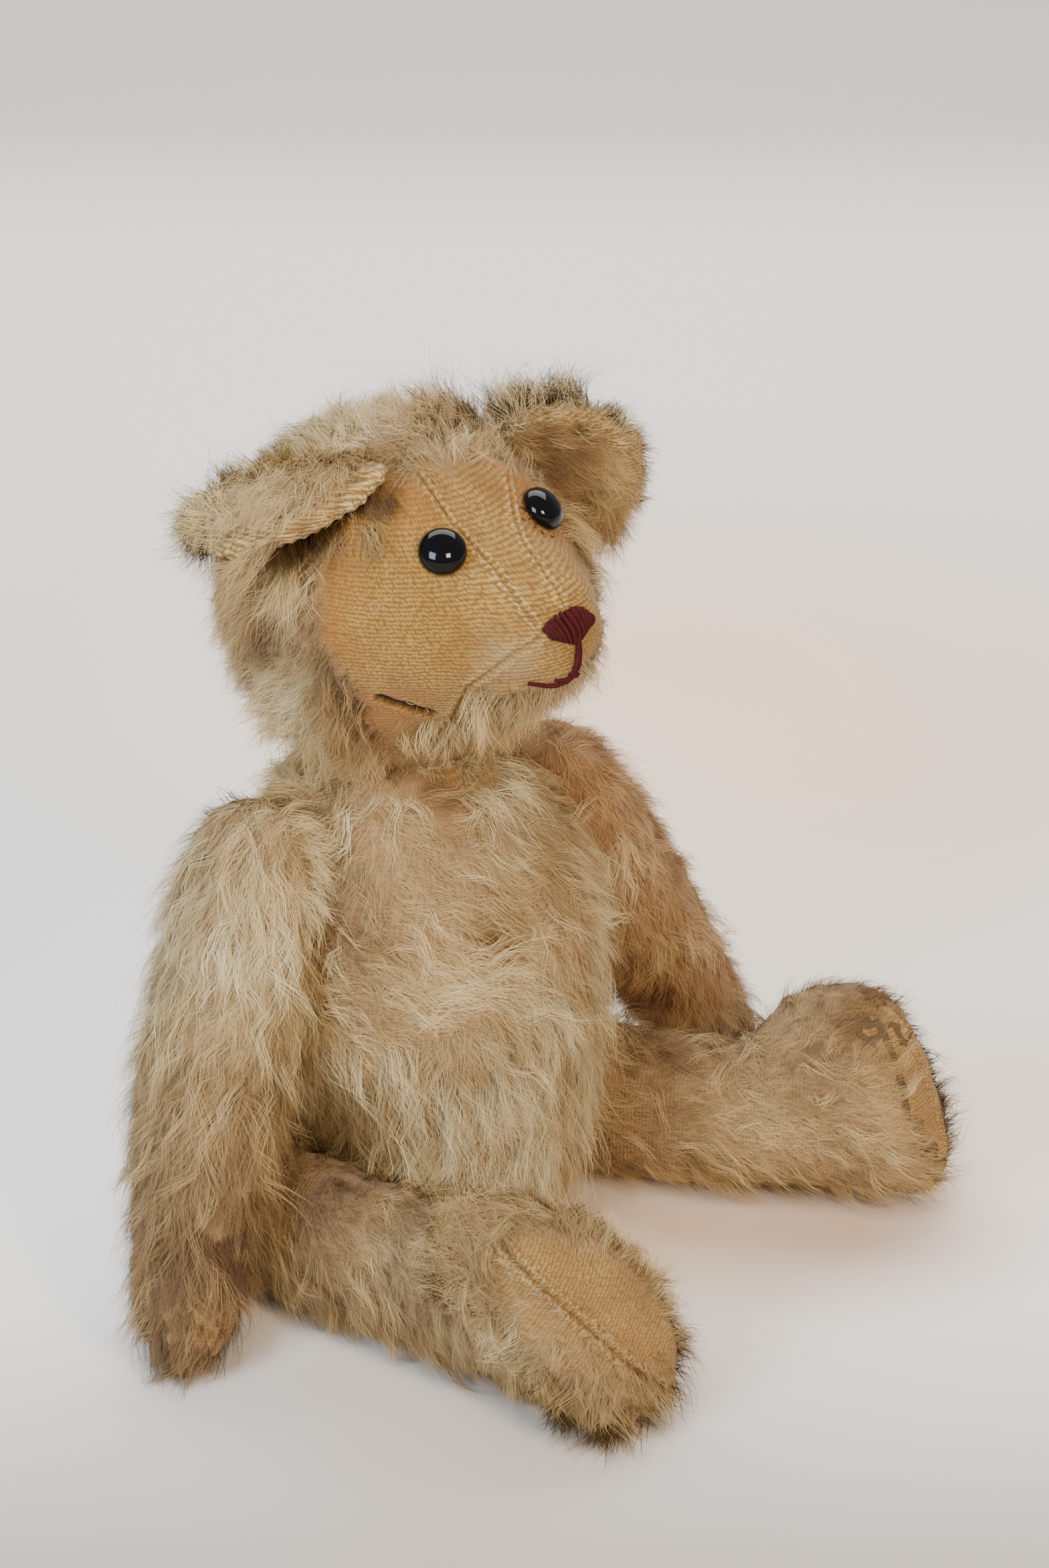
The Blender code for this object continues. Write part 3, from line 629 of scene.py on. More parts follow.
eyes = {}
for side in SIDE:
    axis = Vector(middle_of(f"{side}_eye") - middle_of(f"{side}_eye_shank")).normalized()
    back = min(Vector(v.co).dot(axis) for v in nodes[f"{side}_eye"].data.vertices)
    middle = Vector(middle_of(f"{side}_eye"))
    bpy.ops.object.select_all(action="DESELECT")
    bpy.ops.mesh.primitive_uv_sphere_add(segments=48, ring_count=32, radius=EYE_RADIUS)
    eye = bpy.context.active_object
    eye.name = f"{side}_button"
    for vert in eye.data.vertices:
        if vert.co.z < 0:
            vert.co.z = max(vert.co.z, -EYE_EDGE)
        else:
            vert.co.z *= EYE_DOME / EYE_RADIUS
        vert.co.z += EYE_EDGE
    foot = middle + axis * (back - middle.dot(axis))
    eye.data.transform(Matrix.Translation(foot) @ axis.to_track_quat("Z", "Y").to_matrix().to_4x4())
    bpy.ops.object.shade_smooth()
    eyes[side] = eye
    print(eye.name, "looks along", [round(v, 2) for v in axis])

# %% [markdown]
# ## Nose and mouth
# Both are stitched with dark red wool yarn. The nose is a fan of long stitches laid side by side over
# the end of the muzzle, which meet below; from there one stitch runs down to the mouth and two run
# out sideways. Each is a tube laid on the skin, so it is a curve with a round section.

# %% Yarn on the muzzle
head_tree = tree_of(skins["head"])
YARN = 0.5 * MM                     # radius of the wool


def on_muzzle(x, z, lift):
    """A place on the front of the head, at x and z in its own frame, lifted off the cloth."""
    hit, normal, _, _ = head_tree.ray_cast(Vector(HEAD.back((x, -90, z))), Vector(HEAD.way((0, 1, 0))))
    return hit + normal * lift


def yarn(name, runs, radius=YARN):
    """One curve with a round section for each (places, radius factor at its ends)."""
    curve = bpy.data.curves.new(name, "CURVE")
    curve.dimensions = "3D"
    curve.bevel_depth = radius
    curve.bevel_resolution = 2
    curve.use_fill_caps = True
    for places, thick in runs:
        spline = curve.splines.new("POLY")
        spline.points.add(len(places) - 1)
        for i, (point, place) in enumerate(zip(spline.points, places)):
            point.co = (*place, 1)
            point.radius = thick * (0.75 + 0.25 * math.sin(math.pi * i / (len(places) - 1)))
    obj = bpy.data.objects.new(name, curve)
    bpy.context.scene.collection.objects.link(obj)
    return obj


NOSE_TOP = ((-6.9, 42.6), (-5.4, 43.7), (-3.2, 44.6), (-0.9, 45.2), (1.7, 45.0), (3.6, 44.2), (5.0, 42.6))
NOSE_FOOT = ((-5.0, 40.4), (1.0, 37.3), (4.6, 40.2))
fan = []
for layer, (count, shift) in enumerate(((13, 0.0), (11, 0.3))):
    for i in range(count):
        t = (i + shift) / (count - 1 + shift)
        top = [np.interp(t * 6, range(7), [v[k] for v in NOSE_TOP]) for k in (0, 1)]
        foot = [np.interp(t * 2, range(3), [v[k] for v in NOSE_FOOT]) for k in (0, 1)]
        wobble = 0.25 * math.sin(7.3 * i + 2 * layer)
        run = []
        for k in range(9):
            s = k / 8
            x, z = (top[j] * (1 - s) + foot[j] * s for j in (0, 1))
            bulge = (0.25 + (0.75 + 0.45 * layer) * math.sin(math.pi * s) ** 0.6) * MM
            run.append(on_muzzle(x + wobble * math.sin(math.pi * s), z, bulge))
        fan.append((run, 1.0))
nose = yarn("nose_yarn", fan)


def long_stitch(ends, bow, lift=0.35):
    """One stitch on the muzzle between two (x, z) ends, bowed aside and lifted, in mm."""
    (x0, z0), (x1, z1) = ends
    run = []
    for k in range(11):
        s = k / 10
        arch = math.sin(math.pi * s)
        run.append(on_muzzle(x0 + (x1 - x0) * s + bow[0] * arch, z0 + (z1 - z0) * s + bow[1] * arch,
                             (lift + 0.3 * arch) * MM))
    return run


lip = yarn("lip_yarn", [(long_stitch(((0.8, 38.2), (-0.6, 30.6)), (0.7, 0)), 1.15),
                        (long_stitch(((1.5, 38.0), (0.2, 30.8)), (0.6, 0)), 1.0)])
right_mouth = yarn("right_mouth_yarn", [(long_stitch(((0.9, 30.6), (-9.3, 31.4)), (0, -0.9)), 1.1),
                                        (long_stitch(((0.6, 31.2), (-4.6, 31.1)), (0, -0.5)), 0.9)])
left_mouth = yarn("left_mouth_yarn", [(long_stitch(((-1.2, 31.2), (2.4, 30.6)), (0, -0.5), 0.2), 1.2)])
print(len(fan), "stitches on the nose")

# %% [markdown]
# ## Loose threads
# The weave has frayed at the tear, so torn threads bridge it and stick out of it. The seam on the right
# sole was closed by hand with slanting stitches, and the left eye hangs on a ragged thread.

# %% Threads and hand stitches
THREAD = 0.13 * MM                  # radius of sewing thread


def bridge(tree, line, at, half, slant, rise):
    """A thread across a line at a share of its length, slanting, half its span and its rise in mm."""
    k = min(int(at * (len(line) - 1)), len(line) - 2)
    middle, along = line[k] * (1 - at % 1) + line[k + 1] * (at % 1), unit(line[k + 1] - line[k])
    normal = np.array(tree.find_nearest(Vector(middle))[1])
    over = unit(np.cross(normal, along))
    run = []
    for t in np.linspace(-1, 1, 7):
        flat = middle + (over * half + along * slant) * t * MM
        hit, out, _, _ = tree.find_nearest(Vector(flat + normal * MM))
        run.append(hit + out * (0.1 + rise * (1 - t * t)) * MM)
    return run


threads_rng = np.random.default_rng(41)
tear = seam_lines["head"][3]
tear_threads = yarn("tear_threads", [
    (bridge(head_tree, tear, at, threads_rng.uniform(0.9, 1.6), threads_rng.normal(0, 0.7),
            threads_rng.uniform(0, 0.7)), 1.0) for at in (0.1, 0.34, 0.52, 0.86)], 0.7 * THREAD)
leg_tree = tree_of(skins["right_leg"])
sole_stitches = yarn("sole_stitches", [(bridge(leg_tree, seam_lines["right_leg"][0], at, 0.9, 0.7, 0.05), 1.0)
                                       for at in np.linspace(0.12, 0.9, 8)], 0.8 * THREAD)
eye_middle = Vector(middle_of("left_eye"))
eye_way = (eye_middle - Vector(middle_of("left_eye_shank"))).normalized()
ragged_ends = []
for turn in (150, 172, 188, 205, 230):
    over = eye_way.cross(Vector((0, 0, 1))).normalized() * -math.cos(math.radians(turn))
    over += eye_way.cross(eye_way.cross(Vector((0, 0, -1)))).normalized() * math.sin(math.radians(turn))
    run = []
    for t in np.linspace(0, 1, 5):
        hit, out, _, _ = head_tree.find_nearest(eye_middle + over * (EYE_RADIUS + (2.6 * t - 0.6) * MM))
        run.append(hit + out * (0.3 + 0.5 * math.sin(3 * t + turn)) * MM)
    ragged_ends.append((run, 1.2))
eye_threads = yarn("eye_threads", ragged_ends, THREAD)
print(len(tear_threads.data.splines), "threads at the tear,",
      len(sole_stitches.data.splines), "stitches on the sole")

# %% [markdown]
# ## The pile
# Mohair pile is fine, wavy and about 10 mm long. On an old bear it hangs together in wisps over a short
# dense underpile, with longer locks over both. Hundreds of thousands of hairs can't be modelled one by
# one by hand, and a hair of a few faces is nothing but a narrow ribbon, so they are grown in code:
# wisps are strewn over the skin where it isn't bare, each wisp gets a length, a way it is combed and a
# bend, and each of its hairs starts at its own root and leans to the wisp's tip. A ribbon has one to
# three faces and narrows. Its normals are turned towards the skin's, so that a wisp shades as one.

# %% Growing hair
HAIR_WIDTH = {1: 0.20 * MM, 2: 0.13 * MM, 3: 0.13 * MM}    # at the root, by the steps of a hair
DOWN = np.array((0.0, 0.0, -1.0))
FLOOR_GAP = 0.3 * MM
STRAYS, BARE_WISPS = 0.06, 0.015            # share of hairs that leave their wisp; of wisps on bare cloth
ROOT_DEPTH = 0.5 * MM                       # how far under the skin a hair starts
DROOP = 0.18                                # how far its own weight bends a hair, as a share of its length
HAIR_TOP = packed_high.z + 10 * MM          # above this height the hairs bend over
HAIR_FRONT = packed_low.y - 8 * MM          # and in front of this place they bend back


def strew(mesh, count, rng, weight=None):
    """Random places on a mesh with their normals, evenly by area or by area times a weight."""
    mesh.calc_loop_triangles()
    corners = np.empty(len(mesh.loop_triangles) * 3, np.int32)
    mesh.loop_triangles.foreach_get("vertices", corners)
    place, normal = arrays(mesh)
    corners = corners.reshape(-1, 3)
    a, b, c = (place[corners[:, k]] for k in range(3))
    area = np.linalg.norm(np.cross(b - a, c - a), axis=1)
    if weight is not None:
        area = area * weight((a + b + c) / 3)
    pick = rng.choice(len(corners), count, p=area / area.sum())
    u, v = rng.random(count), rng.random(count)
    u, v = np.where(u + v > 1, 1 - u, u), np.where(u + v > 1, 1 - v, v)
    share = np.stack([1 - u - v, u, v], 1)[:, :, None]
    return (place[corners[pick]] * share).sum(1), unit((normal[corners[pick]] * share).sum(1))


def ribbons(name, path, width, face_way, tone, normals):
    """One mesh of ribbons. path is (hairs, steps + 1, 3); tone is 0 dark to 1 pale for each hair."""
    hairs, levels, _ = path.shape
    along = unit(np.gradient(path, axis=1))
    across = unit(np.cross(along, face_way[:, None, :]))
    taper = np.linspace(1, 0.5, levels - 1)[None, :, None] * width[:, None, None] / 2
    left = path[:, :-1] - across[:, :-1] * taper
    right = path[:, :-1] + across[:, :-1] * taper
    verts = np.concatenate([np.stack([left, right], 2).reshape(hairs, -1, 3), path[:, -1:]], 1)
    per = 2 * (levels - 1) + 1
    quads = [(2 * k, 2 * k + 1, 2 * k + 3, 2 * k + 2) for k in range(levels - 2)]
    corners = [i for quad in quads for i in quad] + [per - 3, per - 2, per - 1]
    loops = (np.arange(hairs)[:, None] * per + np.array(corners)).ravel()
    sizes = [4] * len(quads) + [3]
    starts = (np.arange(hairs)[:, None] * len(corners) + np.cumsum([0] + sizes[:-1])).ravel()
    mesh = bpy.data.meshes.new(name)
    mesh.vertices.add(hairs * per)
    mesh.vertices.foreach_set("co", verts.astype(np.float32).ravel())
    mesh.loops.add(len(loops))
    mesh.loops.foreach_set("vertex_index", loops.astype(np.int32))
    mesh.polygons.add(len(starts))
    mesh.polygons.foreach_set("loop_start", starts.astype(np.int32))
    reach = [k // 2 / (levels - 1) for k in range(per - 1)] + [1.0]
    uv = np.stack([np.broadcast_to(tone[:, None], (hairs, len(corners))),
                   np.broadcast_to(np.array(reach)[corners], (hairs, len(corners)))], 2)
    layer = mesh.uv_layers.new(name="OFBake")
    layer.data.foreach_set("uv", np.clip(uv, 0.01, 0.99).astype(np.float32).ravel())
    mesh.update(calc_edges=True)
    mesh.polygons.foreach_set("use_smooth", np.ones(len(starts), bool))
    mesh.normals_split_custom_set_from_vertices(np.repeat(normals, per, axis=0).astype(np.float32))
    obj = bpy.data.objects.new(name, mesh)
    bpy.context.scene.collection.objects.link(obj)
    return obj


streaks = waves(8, 9 * MM)
UP, AHEAD = np.array((0.0, 0.0, 1.0)), np.array((-0.3, -0.9, 0.3))


def grow(name, body, skin, comb, length, seed, wisps, hairs=13, steps=2, tone=0.6, lift=40, spread=0.95,
         gather=0.62, wander=0.2, wave=0.11, lit=0.0, weight=None):
    """Wisps over a skin: comb(p) gives ways, length(p) millimetres, tone(p) 0 dark to 1 pale, lift is
    in degrees off the skin, lit turns their shading from the skin's to that of the open air in front
    or above. With a weight they keep to it, on bare cloth too."""
    rng = np.random.default_rng(seed)
    root, normal = strew(skin.data, wisps, rng, weight)
    worn = wear_of(body, root)
    if weight is None:
        keep = rng.random(wisps) < (1 - worn["bare"]) ** 1.5 + BARE_WISPS
        keep &= ~((root[:, 2] < 4 * MM) & (normal[:, 2] < -0.6))
        root, normal = root[keep], normal[keep]
        worn = {key: value[keep] for key, value in worn.items()}
    count = len(root)
    way = comb(root) + rng.normal(0, wander, (count, 3))
    way = unit(way - 0.97 * (way * normal).sum(1, keepdims=True) * normal)
    aside = unit(np.cross(normal, way))
    size = length(root) * MM * rng.uniform(0.7, 1.15, count)
    if weight is None:
        size *= 1 - 0.6 * worn["bare"]
    rise = np.radians(np.clip(lift + rng.normal(0, 9, count), 5, 88))
    bend = rng.normal(0, 0.22, count)
    beat = rng.uniform(0, 2 * np.pi, count)

    group = np.repeat(np.arange(count), hairs)
    total = len(group)
    off = rng.normal(0, spread, (total, 2)) * MM
    off = off[:, :1] * way[group] + off[:, 1:] * aside[group]
    start = root[group] + off - normal[group] * ROOT_DEPTH
    reach = size[group] * rng.uniform(0.7, 1.1, total)
    stray = rng.random(total) < STRAYS
    lean = np.where(stray, 0.1, gather)[:, None, None]
    wild = rng.normal(0, np.where(stray, 0.32, 0.12)[:, None], (total, 3))
    t = np.linspace(0, 1, steps + 1)[None, :, None]
    sine, cosine = np.sin(rise[group])[:, None, None], np.cos(rise[group])[:, None, None]
    up = t * sine * 1.25 - t ** 2 * (0.6 * sine + 0.06)
    on = t * cosine * 0.8 + t ** 2 * 0.35
    curl = bend[group][:, None, None] * t ** 2 + wave * np.sin(t * 5 + beat[group][:, None, None])
    shape = (normal[group][:, None] * up + way[group][:, None] * on + aside[group][:, None] * curl
             + wild[:, None] * t ** 2 + DOWN * DROOP * t ** 2)
    path = start[:, None] + shape * reach[:, None, None] - off[:, None] * lean * t ** 1.3
    path[..., 2] = np.maximum(path[..., 2], FLOOR_GAP + 0.5 * MM * rng.random(total)[:, None])
    path[..., 2] -= 0.75 * np.maximum(path[..., 2] - HAIR_TOP, 0)
    path[..., 1] += 0.75 * np.maximum(HAIR_FRONT - path[..., 1], 0)
    shade = (tone(root) if callable(tone) else tone) + 0.06 * rng.normal(size=count)
    shade = shade + 0.09 * lumps(root) + 0.08 * fine_lumps(root) + 0.06 * streaks(root)
    if weight is None:
        # The darker and paler rows add painted shade and painted highlights to the hair's tone.
        shade = shade + tone_light_and_shade(body, root) - 0.30 * (worn["brown"] - 0.3) - 0.12 * worn["stain"]
    shade = shade[group] + 0.035 * rng.normal(size=total)
    width = HAIR_WIDTH[steps] * rng.uniform(0.6, 1.3, total) * np.where(stray, 0.7, 1)
    facing = unit(normal[group] + 0.3 * rng.normal(size=(total, 3)))
    rising, lit = np.clip(way[:, 2:], 0, 1), np.maximum(lit, 0.6 * smooth(0.1, 0.8, -normal[:, 2:]))
    open_air = (1 - lit) * normal + lit * (rising * UP + (1 - rising) * AHEAD)
    soft = unit((open_air + 0.25 * way)[group] + 0.10 * rng.normal(size=(total, 3)))
    pile = ribbons(name, path, width, facing, shade, soft)
    print(name, total, "hairs,", total * (2 * steps - 1), "triangles")
    return pile


# %% Combing directions
def drift(seed, size, amount):
    fields = [waves(seed + k, size) for k in range(3)]
    return lambda p: amount * np.stack([f(p) for f in fields], 1)


swirl_wide, swirl_small = drift(20, 30 * MM, 0.40), drift(30, 11 * MM, 0.28)


def comb_body(p):
    """Down, but brushed across the belly from the bear's right to its left at the waist."""
    height = p[:, 2] / MM
    across = (np.exp(-((height - 79) / 13) ** 2) * smooth(20, -25, p[:, 0] / MM)
              * smooth(-5, 10, -p[:, 1] / MM))
    lean = 0.45 * smooth(84, 95, height)
    way = np.stack([1.6 * across + lean, -0.5 * across, -1 + across + 0.3 * smooth(96, 110, height)], 1)
    return way + swirl_wide(p) + swirl_small(p)


def comb_limb(name):
    """Towards the paw or the foot; round the right sole, outwards over its edge."""
    local = LIMB[name]
    if name.endswith("arm"):
        return lambda p: local.way((0, 0.1, -1)) + 0.3 * DOWN + 0.7 * (swirl_wide(p) + swirl_small(p))

    def comb(p):
        z = local.to(p)[:, 2]
        if name == "left_leg":
            return (local.way((0, 0, -1)) + 0.3 * UP * smooth(10, 25, p[:, 2:] / MM) + swirl_wide(p)
                    + swirl_small(p))
        end = smooth(62, 76, -z)[:, None]
        flat = (p / MM - SOLE[0]) @ SOLE[1] * np.array((0.6, 1, 0))
        out = unit(flat) @ SOLE[1].T + 0.3 * SOLE[1][:, 2]
        return ((1 - end) * (local.way((0, 0, -0.8)) + 0.6 * DOWN) + end * out * 1.6 + swirl_wide(p)
                + swirl_small(p))

    return comb


def comb_head(p):
    """Away from the face over the crown, and down at the cheeks and the nape."""
    x, y, z = HEAD.to(p).T
    back = np.stack([0.25 * np.sign(x), 0.6 + 0 * x, -0.75 + 0.9 * smooth(55, 68, z)], 1)
    return HEAD.way(back) + swirl_wide(p) + swirl_small(p)


def comb_ear(side):
    """From the sewn edge to the tip of the flap."""
    first, last, tip = (np.array(v, float) for v in EARS[side])
    out = HEAD.way(unit(tip - (first + last) / 2))
    return lambda p: out + (0.25 * DOWN if side == "left" else 0.1 * UP) + swirl_wide(p) + swirl_small(p)


# %% Grow the pile on every skin
def length_body(p):
    """Length of the body's pile in mm; the right arm has the same."""
    return 10.0 + 1.5 * coarse(p)


def length_head(p):
    """Short round the face, longer at the cheeks and on the crown."""
    z = HEAD.to(p)[:, 2]
    return 7.0 + 3.0 * smooth(42, 25, z) + 3.5 * smooth(64, 70, z) + 1.2 * coarse(p)


def tone_arm(p):
    """The right arm darkens towards its paw."""
    return 0.65 - 0.27 * smooth(-10, -85, LIMB["right_arm"].to(p)[:, 2])


PILE = {  # skin: (comb, length, tone, lift, wisps, hairs of the underpile)
    "body": (comb_body, length_body, 0.68, 42, 2700, 56000),
    "head": (comb_head, length_head, 0.62, 50, 2550, 60000),
    "right_arm": (comb_limb("right_arm"), length_body, tone_arm, 42, 1400, 38000),
    "left_arm": (comb_limb("left_arm"), lambda p: 8.5 + coarse(p), 0.58, 46, 950, 24000),
    "right_leg": (comb_limb("right_leg"), lambda p: 8.5 + coarse(p), 0.53, 42, 1500, 36000),
    "left_leg": (comb_limb("left_leg"), lambda p: 8.0 + coarse(p), 0.53, 38, 1250, 33000),
    "left_ear": (comb_ear("left"), lambda p: 8.0 + 2 * coarse(p), 0.74, 50, 700, 14000),
    "right_ear": (comb_ear("right"), lambda p: 11.0 + 1.5 * coarse(p), 0.80, 56, 800, 14000),
}
LOCKS = {  # skin: (locks that hang over the pile, length in mm, how much paler they are)
    "body": (540, 14, 0.17), "right_arm": (330, 14, 0.18), "left_arm": (170, 11, 0.14),
    "right_leg": (250, 11, 0.16), "left_leg": (250, 11, 0.16), "head": (150, 11, 0.10),
}
THINNED = 1.0       # share of the wisps grown
piles = {}


def below(tone, by=0.09):
    """The same tone, darker by this much."""
    return (lambda p: tone(p) - by) if callable(tone) else tone - by


for seed, (skin, (comb, length, tone, lift, wisps, under)) in enumerate(PILE.items()):
    piles[f"{skin}_pile"] = grow(f"{skin}_pile", skin, skins[skin], comb, length, 100 + seed,
                                 int(wisps * THINNED), tone=tone, lift=lift,
                                 lit=0.4 if skin.endswith("ear") else 0.0)
    piles[f"{skin}_underpile"] = grow(
        f"{skin}_underpile", skin, skins[skin], comb, lambda p, length=length: 0.6 * length(p), 200 + seed,
        int(under * THINNED / 4), hairs=4, steps=1, tone=below(tone), lift=lift - 12, gather=0.35, wander=0.2)
    if skin in LOCKS:
        locks, reach, paler = LOCKS[skin]
        piles[f"{skin}_locks"] = grow(
            f"{skin}_locks", skin, skins[skin], comb,
            lambda p, reach=reach: reach * (1 + 0.15 * coarse(p)), 400 + seed, int(locks * THINNED),
            hairs=12, steps=3, tone=below(tone, -paler), lift=lift + 2, gather=0.85, wave=0.15, lit=0.25)

# %% [markdown]
# ## Tufts
# Here and there the pile has been spared and stands longer: below and in front of the right ear, on
# top of the left one, under the chin, round the right shoulder's worn edge and the right sole. They
# are grown the same way, only near given places and in given directions, which are told as seen from
# the side that the bear is looked at: aside to the right, up, and to the front.

# %% Tufts that were spared
VIEW_TURN = math.radians(-40)      # the side that the bear is looked at from
FRONT = np.array((math.sin(VIEW_TURN), -math.cos(VIEW_TURN), 0))
ASIDE = np.array((math.cos(VIEW_TURN), math.sin(VIEW_TURN), 0))


def round_sole(turn, wide, tall, deep):
    """A place on a ring round the right sole, at a turn from its lower end, deep mm under it."""
    return tuple(SOLE[0] + SOLE[1] @ (wide * math.cos(turn), tall * math.sin(turn), -deep))


def off_sole(turn, along, across, out):
    """The way from the sole's middle at that turn, as (aside, up, front)."""
    way = (along * math.cos(turn), across * math.sin(turn), out)
    return tuple(np.array((ASIDE, UP, FRONT)) @ SOLE[1] @ way)


